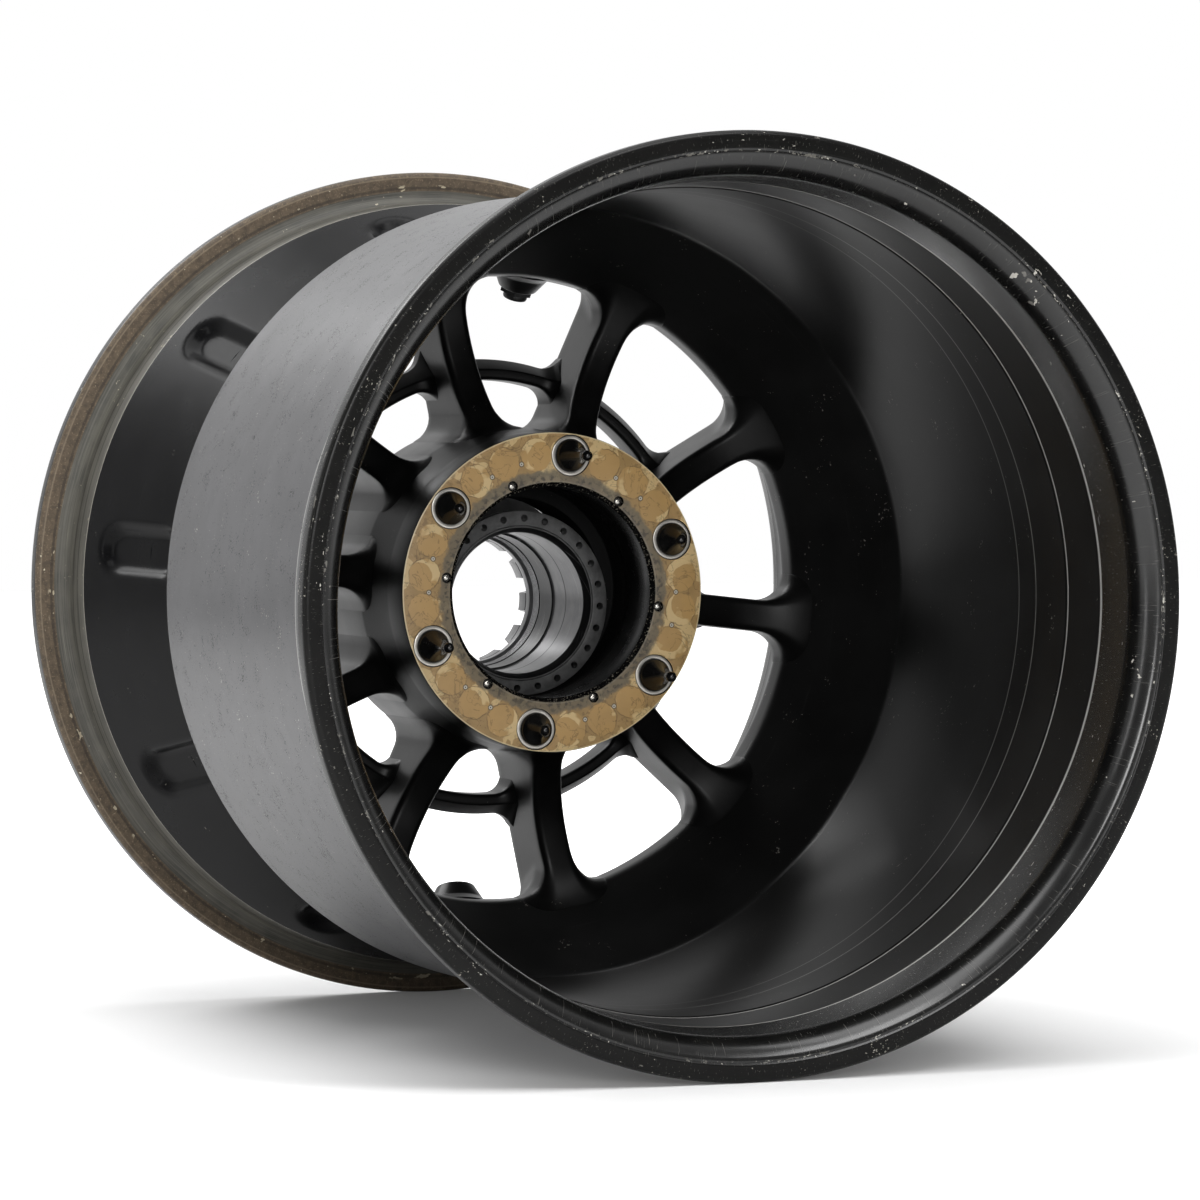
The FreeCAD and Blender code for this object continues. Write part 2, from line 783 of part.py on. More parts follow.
for item in doc.Objects:
    if "Invalid" in item.State or "Error" in item.State:
        raise RuntimeError("failed: %s %s" % (item.Name, item.State))
for piece in pieces:
    if piece.Shape.isNull() or not piece.Shape.isValid():
        raise RuntimeError("bad shape: " + piece.Label)
os.makedirs("parts", exist_ok=True)
for piece in pieces:
    piece.Shape.exportStep(os.path.join("parts", piece.Label + ".step"))
    print(piece.Label, len(piece.Shape.Solids), round(piece.Shape.Volume / 1000, 2), "cm3")
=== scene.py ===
"""Worn racing wheel rim: turned barrel, ten spokes, gold drive face with pegs, loose centre nut."""
import math

import bpy
from mathutils import Matrix, Vector


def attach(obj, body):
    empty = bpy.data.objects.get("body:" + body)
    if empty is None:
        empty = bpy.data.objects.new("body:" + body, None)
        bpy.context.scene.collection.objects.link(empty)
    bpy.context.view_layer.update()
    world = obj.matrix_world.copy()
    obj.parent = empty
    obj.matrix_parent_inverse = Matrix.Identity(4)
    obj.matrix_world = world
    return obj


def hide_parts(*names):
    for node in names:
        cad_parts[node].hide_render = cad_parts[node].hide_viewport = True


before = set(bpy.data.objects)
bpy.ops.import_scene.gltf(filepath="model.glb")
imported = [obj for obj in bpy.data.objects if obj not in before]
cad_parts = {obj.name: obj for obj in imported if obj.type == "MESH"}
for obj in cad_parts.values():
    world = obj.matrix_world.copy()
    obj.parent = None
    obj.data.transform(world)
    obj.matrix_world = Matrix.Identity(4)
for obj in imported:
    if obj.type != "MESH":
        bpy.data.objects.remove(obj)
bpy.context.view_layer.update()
bpy.ops.object.select_all(action="DESELECT")

MM = 0.001
FULL_TURN = 2 * math.pi

# rim section, in millimetres: radius from the axis, place along it (inboard is negative)
FLANGE_RADIUS = 179.0
HALF_WIDTH = 183.5
FLANGE_BACK = 174.5
FLANGE_ROUNDING = 2.5
LIP_ROUNDING = 2.4
LAND_SUPPORT = 172.9
LAND_RADIUS = 172.1
LAND_EDGE = 171.5
LAND_STEP = 0.7
BEAD_RADIUS = 165.1
BEAD_ROUNDING = 6.0
HUMP_RADIUS = 164.4
HUMP_PLACE = 153.0
DRUM_RADIUS = 162.8
DRUM_START = -145.0
DRUM_END = 40.0
DRUM_ROUNDING = 10.0
DRUM_BORE = 159.8
DRUM_BORE_END = 34.0
WELL_RADIUS = 138.0
WELL_START = 82.0
WELL_END = 93.0
WELL_ROUNDING = 12.0
THROAT_RADIUS = 131.5
THROAT_START = 84.0
THROAT_END = 95.0
DISH_RADIUS = 157.0
DISH_ROUNDING = 20.0
BELL_RADIUS = 14.0
BELL_STEPS = 10
BELL_INBOARD = (176.16, -170.29)
BELL_INBOARD_ARC = (246.0, 174.7)
BELL_OUTBOARD = (175.46, 170.07)
BELL_OUTBOARD_ARC = (-175.6, -253.0)
HEEL_EDGE = (161.0, -151.0)
HEEL_GROOVE = (161.4, -150.3)
HEEL_START = (160.9, -149.6)
HEEL_END = (160.4, -123.0)
BORE_START = -122.0
BARREL_STEPS = 500

# where one finish of the barrel ends and the next begins
LIP_PLACE = 168.0
LIP_BACK = 173.5
LIP_INSIDE = 167.0
BROWN_RADIUS = 171.4
LAND_START = 171.8
OUTER_EDGE = 178.2
BELL_END = -150.6
BORE_LIMIT = 166.0
BEAD_LIMIT = 152.0
DRUM_LIMIT = 38.0

# rounded pockets pressed into the well wall, in line with the spokes
POCKET_PLACE = 121.0
POCKET_HALF = 12.0
POCKET_REACH = 11.8
POCKET_SLOPE = 5.6
POCKET_DEPTH = 4.2
POCKET_INWARD = 0.915
POCKET_ALONG = 0.402
POCKET_ROWS = 34

# spokes and hub
SPOKE_COUNT = 10
SPOKE_TURN = math.radians(-6.3)
SPOKE_WALL = 13.5
SPOKE_BACK = 120.0
SPOKE_ARCH = (107.8, 33.6, 50.0)
BOSS_ARCH = (84.75, 54.9, 19.0)
BOSS_ARCH_END = 72.0
SPOKE_ARCH_END = 143.6
SPOKE_NOSE = 3.2
SPOKE_EDGE = 2.0
SPOKE_RADII = (66.6, 67.2, 68, 68.6, 69.4, 70.4, 71.6, 73, 75, 77, 80, *range(84, 120, 4))
SPOKE_GAPS = (14, 12.5, 11, 9.5, 8, 6.6, 5.4, 4.3, 3.3, 2.4, 1.6, 0.9, 0.4, 0.1, -3)
HUB_RADIUS = 68.0
HUB_FILLET = 9.0
RIM_FILLET = 14.0
FACE_PLACE = 28.0
FACE_RADIUS = 66.0
FACE_BORE = 45.4
MOUTH_RADIUS = 43.6
CHAMBER_RADIUS = 44.5
CHAMBER_END = 73.0
NECK_RADIUS = 38.7
NECK_END = 100.0
SEAT_RADIUS = 50.2
SEAT_END = 111.5
RECESS_RADIUS = 52.0
WAIST_ROUNDING = 30.0
TIE_BORE = 88.0
TIE_RADIUS = 97.0
TIE_FILLET = 8.0
TIE_SWELL = 7.0
TIE_FRONT = 105.0
TIE_BACK = 119.85

# drive pegs and pins
PEG_COUNT = 6
PEG_TURN = math.radians(22.2)
PEG_CIRCLE = 56.8
PEG_LONG = 20.5
PEG_SHORT = 12.0
PEG_RADIUS = 6.7
PEG_NOSE = 2.2
PEG_DEPTH = 16.0
PEG_CURVE = 24.0
BUSH_RADIUS = 8.3
BUSH_BORE = 6.8
SOCKET_RADIUS = 8.6
PIN_CIRCLE = 47.1
PIN_RADIUS = 2.1
PIN_SOCKET = 2.2
PIN_SINK = 1.6
PIN_LENGTH = 9.0
MARK_CIRCLE = 57.0

# loose nut
NUT_DROP = 5.6
NUT_PLACE = 66.0
NUT_END = 139.5
SLEEVE_RADIUS = 33.0
SLEEVE_BORE = 29.6
SPIGOT_RADIUS = 32.3
THREAD_BORE = 28.6
THREAD_START = 103.0
GROOVE_COUNT = 5
GROOVE_START = 118.2
GROOVE_PITCH = 1.4
GROOVE_DEPTH = 0.5
RING_BORE = 27.0
RING_START = 125.2
COLLAR_RADIUS = 46.0
COLLAR_START = 113.0
COLLAR_END = 120.0
KEEPER_RADIUS = 38.8
KEEPER_BORE = 32.4
KEEPER_END = 72.0
KEEPER_CIRCLE = 35.6
KEEPER_HOLES = 24
KEEPER_HOLE = 1.5
TOOTH_COUNT = 12
TOOTH_DEPTH = 8.5
TOOTH_TURN = math.radians(-3.4)
TOOTH_GAP = 6.6
KEEPER_TURN = math.radians(-2.6)

# valve boss and plug boss on the dish wall
BOSS_TURN = math.radians(83.7)
BOSS_PLACE = 104.0
BOSS_RISE = 8.0
BOSS_BASE = 12.0
BOSS_TOP = 8.0
SHANK_RADIUS = 4.0
SHANK_HEAD = 9.0
STEM_END = 11.5
CAP_RADIUS = 5.2
CAP_BORE = 4.1
PLUG_END = 7.2


# modelling helpers

def only(piece):
    """Selects one piece and makes it the active one."""
    bpy.ops.object.select_all(action="DESELECT")
    piece.select_set(True)
    bpy.context.view_layer.objects.active = piece


def rounded(corners, closed=True, steps=6):
    """A smooth outline through corners given as radius, place and rounding."""
    points = []
    last = len(corners) - 1
    for index, (radius, place, rounding) in enumerate(corners):
        here = Vector((radius, place))
        if rounding == 0 or (not closed and index in (0, last)):
            points.append(here)
            continue
        before = Vector(corners[index - 1][:2]) - here
        after = Vector(corners[(index + 1) % len(corners)][:2]) - here
        reach = rounding / math.tan(before.angle(after) / 2)
        reach = min(reach, 0.48 * before.length, 0.48 * after.length)
        start = here + before.normalized() * reach
        end = here + after.normalized() * reach
        count = steps if rounding >= 1 else min(steps, 2)
        for step in range(count + 1):
            part = step / count
            points.append(start * (1 - part) ** 2 + here * 2 * part * (1 - part) + end * part ** 2)
    return points


def spun(name, outline, steps, closed=True):
    """Spins an outline of radius and place about the wheel's axis."""
    count = len(outline)
    edges = [(index, index + 1) for index in range(count - 1)]
    if closed:
        edges.append((count - 1, 0))
    mesh = bpy.data.meshes.new(name)
    mesh.from_pydata([(point[0] * MM, point[1] * MM, 0) for point in outline], edges, [])
    piece = bpy.data.objects.new(name, mesh)
    bpy.context.collection.objects.link(piece)
    only(piece)
    bpy.ops.object.mode_set(mode="EDIT")
    bpy.ops.mesh.select_all(action="SELECT")
    bpy.ops.mesh.spin(steps=steps, angle=FULL_TURN, center=(0, 0, 0), axis=(0, 1, 0))
    bpy.ops.mesh.select_all(action="SELECT")
    bpy.ops.mesh.remove_doubles(threshold=0.000002)
    bpy.ops.mesh.normals_make_consistent(inside=False)
    bpy.ops.object.mode_set(mode="OBJECT")
    return piece


def smooth(piece, degrees=30):
    """Smooth shading with sharp edges kept past an angle."""
    only(piece)
    bpy.ops.object.shade_smooth_by_angle(angle=math.radians(degrees))


def joined(name, pieces):
    """Joins pieces into one under a name."""
    bpy.ops.object.select_all(action="DESELECT")
    for piece in pieces:
        piece.select_set(True)
    bpy.context.view_layer.objects.active = pieces[0]
    bpy.ops.object.join()
    pieces[0].name = name
    pieces[0].data.name = name
    return pieces[0]


def copied(piece, name, matrix):
    """A copy with its own mesh, moved by a matrix."""
    twin = piece.copy()
    twin.data = piece.data.copy()
    twin.name = name
    twin.data.name = name
    twin.data.transform(matrix)
    bpy.context.collection.objects.link(twin)
    return twin


def turned(angle):
    """The turn about the wheel's axis that takes angle zero to this angle."""
    return Matrix.Rotation(-angle, 4, "Y")


def cut_by(piece, tool):
    """Cuts a tool out of a piece and removes the tool."""
    only(piece)
    cut = piece.modifiers.new("cut", "BOOLEAN")
    cut.operation = "DIFFERENCE"
    cut.solver = "EXACT"
    cut.object = tool
    bpy.ops.object.modifier_apply(modifier="cut")
    bpy.data.objects.remove(tool, do_unlink=True)


def finished(piece, materials, choose=None, node=None):
    """Gives a piece its materials and its body, and hides the CAD part of the named node."""
    piece.data.materials.clear()
    for finish in materials:
        piece.data.materials.append(finish)
    for face in piece.data.polygons:
        centre = face.center / MM
        face.material_index = choose(Vector(centre), face.normal) if choose else 0
    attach(piece, "root")
    if node:
        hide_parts(node)
    return piece


# finishes

def tint(code):
    """A linear colour from a six-figure screen colour."""
    shares = [int(code[place:place + 2], 16) / 255 for place in (0, 2, 4)]
    linear = [share / 12.92 if share <= 0.04045 else ((share + 0.055) / 1.055) ** 2.4 for share in shares]
    return (*linear, 1.0)


def feed(tree, socket, value):
    """Links a socket into an input, or sets a plain number or colour on it."""
    if isinstance(value, bpy.types.NodeSocket):
        tree.links.new(value, socket)
    else:
        socket.default_value = value


def calc(tree, operation, *values):
    """One step of arithmetic."""
    node = tree.nodes.new("ShaderNodeMath")
    node.operation = operation
    for socket, value in zip(node.inputs, values):
        feed(tree, socket, value)
    return node.outputs[0]


def squares(tree, first, second):
    """The sum of two squares."""
    return calc(tree, "ADD", calc(tree, "MULTIPLY", first, first), calc(tree, "MULTIPLY", second, second))


def swept(tree, value, start, end):
    """Rises softly from 0 at start to 1 at end."""
    node = tree.nodes.new("ShaderNodeMapRange")
    node.interpolation_type = "SMOOTHSTEP"
    feed(tree, node.inputs["Value"], value)
    feed(tree, node.inputs["From Min"], start)
    feed(tree, node.inputs["From Max"], end)
    return node.outputs["Result"]


def cloud(tree, vector, scale, detail=3.0, roughness=0.55, distortion=0.0):
    """Noise on a vector."""
    node = tree.nodes.new("ShaderNodeTexNoise")
    feed(tree, node.inputs["Vector"], vector)
    feed(tree, node.inputs["Scale"], scale)
    node.inputs["Detail"].default_value = detail
    node.inputs["Roughness"].default_value = roughness
    node.inputs["Distortion"].default_value = distortion
    return node.outputs["Fac"]


def new_group(name, inputs, outputs):
    """An empty shader group with named sockets."""
    group = bpy.data.node_groups.new(name, "ShaderNodeTree")
    for label, kind, value in inputs:
        socket = group.interface.new_socket(name=label, in_out="INPUT", socket_type="NodeSocket" + kind)
        if value is not None:
            socket.default_value = value
    for label, kind in outputs:
        group.interface.new_socket(name=label, in_out="OUTPUT", socket_type="NodeSocket" + kind)
    given = group.nodes.new("NodeGroupInput").outputs
    result = group.nodes.new("NodeGroupOutput").inputs
    return group, given, result


def make_wheel_place():
    """Where a point is on the wheel, in millimetres and degrees: radius, place along the axis, angle."""
    outputs = [("Radius", "Float"), ("Place", "Float"), ("Angle", "Float"), ("Point", "Vector"),
               ("Circles", "Vector")]
    group, given, result = new_group("wheel_place", [], outputs)
    coordinates = group.nodes.new("ShaderNodeTexCoord")
    scale = group.nodes.new("ShaderNodeVectorMath")
    scale.operation = "SCALE"
    group.links.new(coordinates.outputs["Object"], scale.inputs[0])
    scale.inputs["Scale"].default_value = 1 / MM
    parts = group.nodes.new("ShaderNodeSeparateXYZ")
    group.links.new(scale.outputs[0], parts.inputs[0])
    across, place, height = parts.outputs
    radius = calc(group, "SQRT", squares(group, across, height))
    angle = calc(group, "MULTIPLY", calc(group, "ARCTAN2", height, across), math.degrees(1))
    circles = group.nodes.new("ShaderNodeCombineXYZ")
    group.links.new(calc(group, "MULTIPLY", across, 0.02), circles.inputs[0])
    group.links.new(calc(group, "ADD", radius, place), circles.inputs[1])
    group.links.new(calc(group, "MULTIPLY", height, 0.02), circles.inputs[2])
    group.links.new(radius, result["Radius"])
    group.links.new(place, result["Place"])
    group.links.new(angle, result["Angle"])
    group.links.new(scale.outputs[0], result["Point"])
    group.links.new(circles.outputs[0], result["Circles"])
    return group


def make_paint_chips():
    """Small ragged spots, gathered in patches. Size in millimetres, Amount from 0 to 1."""
    group, given, result = new_group("paint_chips", [
        ("Point", "Vector", None), ("Size", "Float", 1.0), ("Amount", "Float", 0.3)], [("Mask", "Float")])
    fine = calc(group, "DIVIDE", 1.0, given["Size"])
    spots = cloud(group, given["Point"], fine, 2.0, 0.6)
    patches = cloud(group, given["Point"], calc(group, "MULTIPLY", fine, 0.09), 2.0)
    level = calc(group, "SUBTRACT", 0.86, calc(group, "MULTIPLY", given["Amount"], 0.3))
    gathered = calc(group, "MULTIPLY", calc(group, "SUBTRACT", patches, 0.5), 0.55)
    level = calc(group, "SUBTRACT", level, gathered)
    group.links.new(swept(group, spots, level, calc(group, "ADD", level, 0.03)), result["Mask"])
    return group


def make_turning_lines():
    """Fine lines left by the lathe and by handling, round the axis. Pitch in millimetres."""
    group, given, result = new_group("turning_lines", [
        ("Circles", "Vector", None), ("Pitch", "Float", 1.0)], [("Lines", "Float"), ("Scratches", "Float")])
    scale = calc(group, "DIVIDE", 1.0, given["Pitch"])
    lines = cloud(group, given["Circles"], scale, 4.0, 0.7)
    group.links.new(lines, result["Lines"])
    group.links.new(swept(group, lines, 0.62, 0.74), result["Scratches"])
    return group


def make_contact_mark():
    """One round mark on the drive face, at an angle from the middle between two pegs."""
    inputs = [("Radius", "Float", MARK_CIRCLE), ("Local", "Float", 0.0), ("Offset", "Float", 0.0),
              ("Lean", "Float", 0.0), ("Waver", "Float", 0.0)]
    outputs = [("Fill", "Float"), ("Crescent", "Float"), ("Outline", "Float"), ("Reach", "Float")]
    group, given, result = new_group("contact_mark", inputs, outputs)
    away = calc(group, "RADIANS", calc(group, "SUBTRACT", given["Local"], given["Offset"]))
    side = calc(group, "MULTIPLY", given["Radius"], calc(group, "SINE", away))
    along = calc(group, "MULTIPLY", given["Radius"], calc(group, "COSINE", away))
    along = calc(group, "SUBTRACT", along, MARK_CIRCLE)

    def reach_from(right, up):
        first = calc(group, "SUBTRACT", side, right)
        second = calc(group, "SUBTRACT", along, up)
        return calc(group, "SQRT", squares(group, first, second))

    reach = calc(group, "ADD", reach_from(0.0, 0.0), given["Waver"])
    fill = calc(group, "SUBTRACT", 1.0, swept(group, reach, 6.5, 6.8))
    right = calc(group, "MULTIPLY", calc(group, "COSINE", given["Lean"]), 2.6)
    up = calc(group, "MULTIPLY", calc(group, "SINE", given["Lean"]), 2.6)
    inner = swept(group, calc(group, "ADD", reach_from(right, up), given["Waver"]), 5.7, 6.0)
    edge = calc(group, "ABSOLUTE", calc(group, "SUBTRACT", reach, 6.8))
    group.links.new(fill, result["Fill"])
    group.links.new(calc(group, "MULTIPLY", fill, inner), result["Crescent"])
    group.links.new(calc(group, "SUBTRACT", 1.0, swept(group, edge, 0.1, 0.4)), result["Outline"])
    group.links.new(reach, result["Reach"])
    return group


WHEEL_PLACE = make_wheel_place()
PAINT_CHIPS = make_paint_chips()
TURNING_LINES = make_turning_lines()
CONTACT_MARK = make_contact_mark()


class Finish:
    """A material built up in layers of colour, roughness and height."""

    def __init__(self, name, dark, light, size, roughness, spread=0.06, metallic=0.0, gloss=0.5):
        self.made = bpy.data.materials.new(name)
        self.made.use_nodes = True
        self.tree = self.made.node_tree
        self.shader = self.tree.nodes["Principled BSDF"]
        self.shader.inputs["Metallic"].default_value = metallic
        self.shader.inputs["Specular IOR Level"].default_value = gloss
        where = self.group(WHEEL_PLACE)
        self.radius, self.place, self.angle, self.point, self.circles = where.outputs
        spread_noise = self.noise(size, 4.0)
        self.colour = self.mixed(swept(self.tree, spread_noise, 0.3, 0.7), tint(dark), tint(light))
        self.rough = self.calc("ADD", self.calc("MULTIPLY", spread_noise, 2 * spread), roughness - spread)
        self.normal = None

    def calc(self, operation, *values):
        return calc(self.tree, operation, *values)

    def group(self, group, **values):
        node = self.tree.nodes.new("ShaderNodeGroup")
        node.node_tree = group
        for label, value in values.items():
            feed(self.tree, node.inputs[label], value)
        return node

    def noise(self, size, detail=3.0):
        return cloud(self.tree, self.point, 1 / size, detail)

    def mixed(self, mask, first, second):
        node = self.tree.nodes.new("ShaderNodeMix")
        node.data_type = "RGBA"
        feed(self.tree, node.inputs["Factor"], mask)
        feed(self.tree, node.inputs["A"], first)
        feed(self.tree, node.inputs["B"], second)
        return node.outputs["Result"]

    def chips(self, size, amount):
        return self.group(PAINT_CHIPS, Point=self.point, Size=size, Amount=amount).outputs["Mask"]

    def nicks(self, size, amount, stretch=0.35):
        """Chips drawn out along the circles about the axis."""
        node = self.tree.nodes.new("ShaderNodeVectorMath")
        node.operation = "MULTIPLY_ADD"
        feed(self.tree, node.inputs[0], self.point)
        node.inputs[1].default_value = (stretch, 0.0, stretch)
        spread = self.tree.nodes.new("ShaderNodeCombineXYZ")
        feed(self.tree, spread.inputs["Y"], self.calc("ADD", self.radius, self.place))
        feed(self.tree, node.inputs[2], spread.outputs[0])
        return self.group(PAINT_CHIPS, Point=node.outputs[0], Size=size, Amount=amount).outputs["Mask"]

    def strokes(self, width, length, level):
        """Hairlines that run across the circles about the axis."""
        spread = self.tree.nodes.new("ShaderNodeCombineXYZ")
        feed(self.tree, spread.inputs["X"], self.calc("MULTIPLY", self.angle, 2.9 / width))
        across = self.calc("ADD", self.radius, self.place)
        feed(self.tree, spread.inputs["Y"], self.calc("MULTIPLY", across, 1 / length))
        return swept(self.tree, cloud(self.tree, spread.outputs[0], 1.0, 2.0), level, level + 0.05)

    def lines(self, pitch):
        return self.group(TURNING_LINES, Circles=self.circles, Pitch=pitch).outputs

    def band(self, value, centre, width, soft):
        away = self.calc("ABSOLUTE", self.calc("SUBTRACT", value, centre))
        return self.calc("SUBTRACT", 1.0, swept(self.tree, away, width / 2, width / 2 + soft))

    def rising(self, value, start, end):
        return swept(self.tree, value, start, end)

    def faded(self, value, start, end):
        return self.calc("SUBTRACT", 1.0, swept(self.tree, value, start, end))

    def both(self, mask, other):
        return self.calc("MULTIPLY", mask, other)

    def weak(self, mask, share):
        return self.calc("MULTIPLY", mask, share)

    def coat(self, mask, code, roughness=None):
        self.colour = self.mixed(mask, self.colour, tint(code))
        if roughness is not None:
            kept = self.calc("MULTIPLY", self.rough, self.calc("SUBTRACT", 1.0, mask))
            self.rough = self.calc("ADD", kept, self.calc("MULTIPLY", mask, roughness))

    def relief(self, height, depth, strength=1.0):
        node = self.tree.nodes.new("ShaderNodeBump")
        node.inputs["Distance"].default_value = depth * MM
        node.inputs["Strength"].default_value = strength
        feed(self.tree, node.inputs["Height"], height)
        if self.normal:
            feed(self.tree, node.inputs["Normal"], self.normal)
        self.normal = node.outputs["Normal"]

    def done(self):
        feed(self.tree, self.shader.inputs["Base Color"], self.colour)
        feed(self.tree, self.shader.inputs["Roughness"], self.rough)
        if self.normal:
            feed(self.tree, self.shader.inputs["Normal"], self.normal)
        return self.made


def make_lip_black(name, gloss):
    """Worn satin black of the lips, with scratches, nicks, a chipped edge round the land and a painted
    highlight on the bell's inner edge.
    """
    finish = Finish(name, "0b0b0b", "121211", 14.0, 0.22, 0.05, gloss=gloss)
    lines = finish.lines(1.1)
    finish.coat(finish.weak(lines["Scratches"], 0.12), "4a4a49")
    # painted highlight: a bright line on the edge where the bell meets the bore
    finish.coat(finish.weak(finish.band(finish.place, -151.2, 0.25, 0.3), 0.9), "b5b3af", 0.25)
    land = finish.rising(finish.radius, 171.6, 172.2)
    finish.coat(finish.weak(land, 0.5), "121211", 0.3)
    finish.coat(finish.weak(finish.strokes(0.35, 2.4, 0.66), 0.35), "7d7a74", 0.45)
    finish.coat(finish.weak(finish.nicks(2.0, 0.36), 0.5), "7d7a74", 0.45)
    finish.coat(finish.weak(finish.nicks(1.1, 0.3), 0.9), "b4b0a8", 0.4)
    finish.coat(finish.both(land, finish.chips(1.2, 0.4)), "8a867e", 0.5)
    groove = finish.band(finish.radius, 171.3, 0.5, 0.6)
    finish.coat(finish.weak(finish.both(groove, finish.nicks(1.6, 0.7, 0.6)), 0.6), "6f6c65", 0.5)
    finish.coat(finish.weak(finish.both(groove, finish.nicks(0.9, 0.62, 0.7)), 0.9), "b9b6ad", 0.45)
    finish.relief(finish.noise(0.9), 0.02, 0.3)
    return finish.done()


def make_drum_grey():
    """Smooth satin grey of the drum, with small pits, light nicks and two turned lines."""
    finish = Finish("drum_grey", "3b3b3d", "49494b", 26.0, 0.3, 0.05, gloss=0.2)
    lines = finish.lines(1.6)
    finish.coat(finish.weak(finish.rising(finish.noise(9.0, 5.0), 0.5, 0.75), 0.35), "343436")
    finish.coat(finish.weak(lines["Scratches"], 0.14), "8a8a88")
    finish.coat(finish.weak(finish.band(finish.place, -130.0, 8.0, 1.0), 0.25), "7a7a7a")
    for place in (-125.2, -134.0):
        finish.coat(finish.weak(finish.band(finish.place, place, 0.4, 0.4), 0.8), "a8a7a4", 0.4)
    pits = finish.calc("MAXIMUM", finish.chips(0.75, 0.62), finish.strokes(0.7, 2.6, 0.7))
    finish.coat(finish.weak(pits, 0.8), "1d1d1d", 0.6)
    finish.coat(finish.chips(0.9, 0.36), "a8a59e", 0.45)
    finish.coat(finish.weak(finish.strokes(0.6, 2.2, 0.71), 0.8), "a8a59e", 0.45)
    finish.relief(lines["Lines"], 0.02, 0.4)
    finish.relief(finish.calc("SUBTRACT", 1.0, pits), 0.12, 0.6)
    return finish.done()


def make_well_black():
    """Clean satin black of the drop well."""
    finish = Finish("well_black", "080809", "0d0d0e", 20.0, 0.26, 0.06, gloss=0.1)
    finish.coat(finish.weak(finish.lines(1.4)["Scratches"], 0.1), "3d3d3d")
    finish.coat(finish.chips(1.0, 0.16), "7c7972", 0.5)
    finish.relief(finish.noise(0.8), 0.03, 0.4)
    return finish.done()


def make_bead_grey():
    """Rubbed bare metal of the bead seats, with turned lines."""
    finish = Finish("bead_grey", "3c3b37", "4d4b45", 12.0, 0.5, 0.08, gloss=0.3)
    lines = finish.lines(0.8)
    finish.coat(finish.weak(finish.rising(lines["Lines"], 0.42, 0.58), 0.55), "5f5d55")
    finish.coat(finish.weak(lines["Scratches"], 0.4), "8d897b")
    for place in (161.0, 167.0):
        finish.coat(finish.weak(finish.band(finish.place, place, 0.7, 0.5), 0.7), "26241f", 0.6)
    finish.coat(finish.weak(finish.band(finish.place, 152.6, 0.4, 0.5), 0.85), "9a968c", 0.4)
    finish.coat(finish.chips(1.8, 0.34), "a39c8a", 0.5)
    finish.relief(lines["Lines"], 0.06, 0.6)
    return finish.done()


def make_flange_brown():
    """Dirt left by the tyre on the flanges, with pale chips at its border."""
    finish = Finish("flange_brown", "463c31", "5c5041", 3.0, 0.55, 0.08, gloss=0.3)
    finish.coat(finish.weak(finish.rising(finish.noise(0.8), 0.55, 0.7), 0.5), "8b7a63")
    finish.coat(finish.weak(finish.band(finish.radius, 172.2, 0.6, 0.6), 0.6), "2c261f", 0.6)
    finish.coat(finish.weak(finish.band(finish.radius, 176.9, 0.2, 0.4), 0.4), "8a7c68", 0.5)
    border = finish.band(finish.radius, 171.6, 2.2, 1.4)
    finish.coat(finish.both(border, finish.nicks(3.6, 0.62, 0.6)), "a79d87", 0.55)
    finish.coat(finish.chips(1.6, 0.26), "c6bda7", 0.5)
    finish.relief(finish.noise(0.7), 0.06, 0.6)
    return finish.done()


def make_barrel_black():
    """Satin black inside the barrel, with painted highlights on its turned edges."""
    finish = Finish("barrel_black", "131313", "1a1a1a", 40.0, 0.3, 0.05, gloss=0.12)
    lines = finish.lines(1.3)
    finish.coat(finish.weak(lines["Scratches"], 0.12), "454546")
    # painted highlights: bright lines on the turned edges inside the barrel
    for place, share in ((-150.2, 0.9), (-123.2, 0.9), (-95.6, 0.4), (-80.2, 0.3)):
        finish.coat(finish.weak(finish.band(finish.place, place, 0.35, 0.35), share), "a5a4a1", 0.25)
    finish.coat(finish.chips(1.3, 0.32), "77746f", 0.5)
    finish.relief(lines["Lines"], 0.02, 0.4)
    finish.relief(finish.noise(0.8), 0.02, 0.3)
    return finish.done()


def make_spoke_black():
    """Satin black of spokes, hub and tie ring."""
    finish = Finish("spoke_black", "0a0a0a", "121212", 16.0, 0.34, 0.06, gloss=0.13)
    finish.coat(finish.chips(0.9, 0.2), "6b6863", 0.5)
    finish.relief(finish.noise(0.8), 0.05, 0.4)
    return finish.done()


def make_bore_black():
    """Glossy black of the hub's bore, worn at its mouth, with a painted highlight on its step and painted
    shade deep inside.
    """
    finish = Finish("bore_black", "090909", "101010", 10.0, 0.26, 0.06, gloss=0.12)
    # painted highlight: a bright line on the step at the end of the mouth
    finish.coat(finish.weak(finish.band(finish.place, 42.4, 0.4, 0.4), 0.8), "8a857b", 0.3)
    worn = finish.faded(finish.place, 29.4, 30.8)
    finish.coat(finish.both(worn, finish.rising(finish.noise(0.8), 0.58, 0.68)), "857f73", 0.35)
    # painted shade: near black and matt deep in the bore, where the nut sits
    finish.coat(finish.rising(finish.place, 56.0, 64.0), "050505", 0.7)
    finish.coat(finish.chips(0.9, 0.26), "6c6861", 0.4)
    finish.relief(finish.lines(0.9)["Lines"], 0.02, 0.3)
    return finish.done()


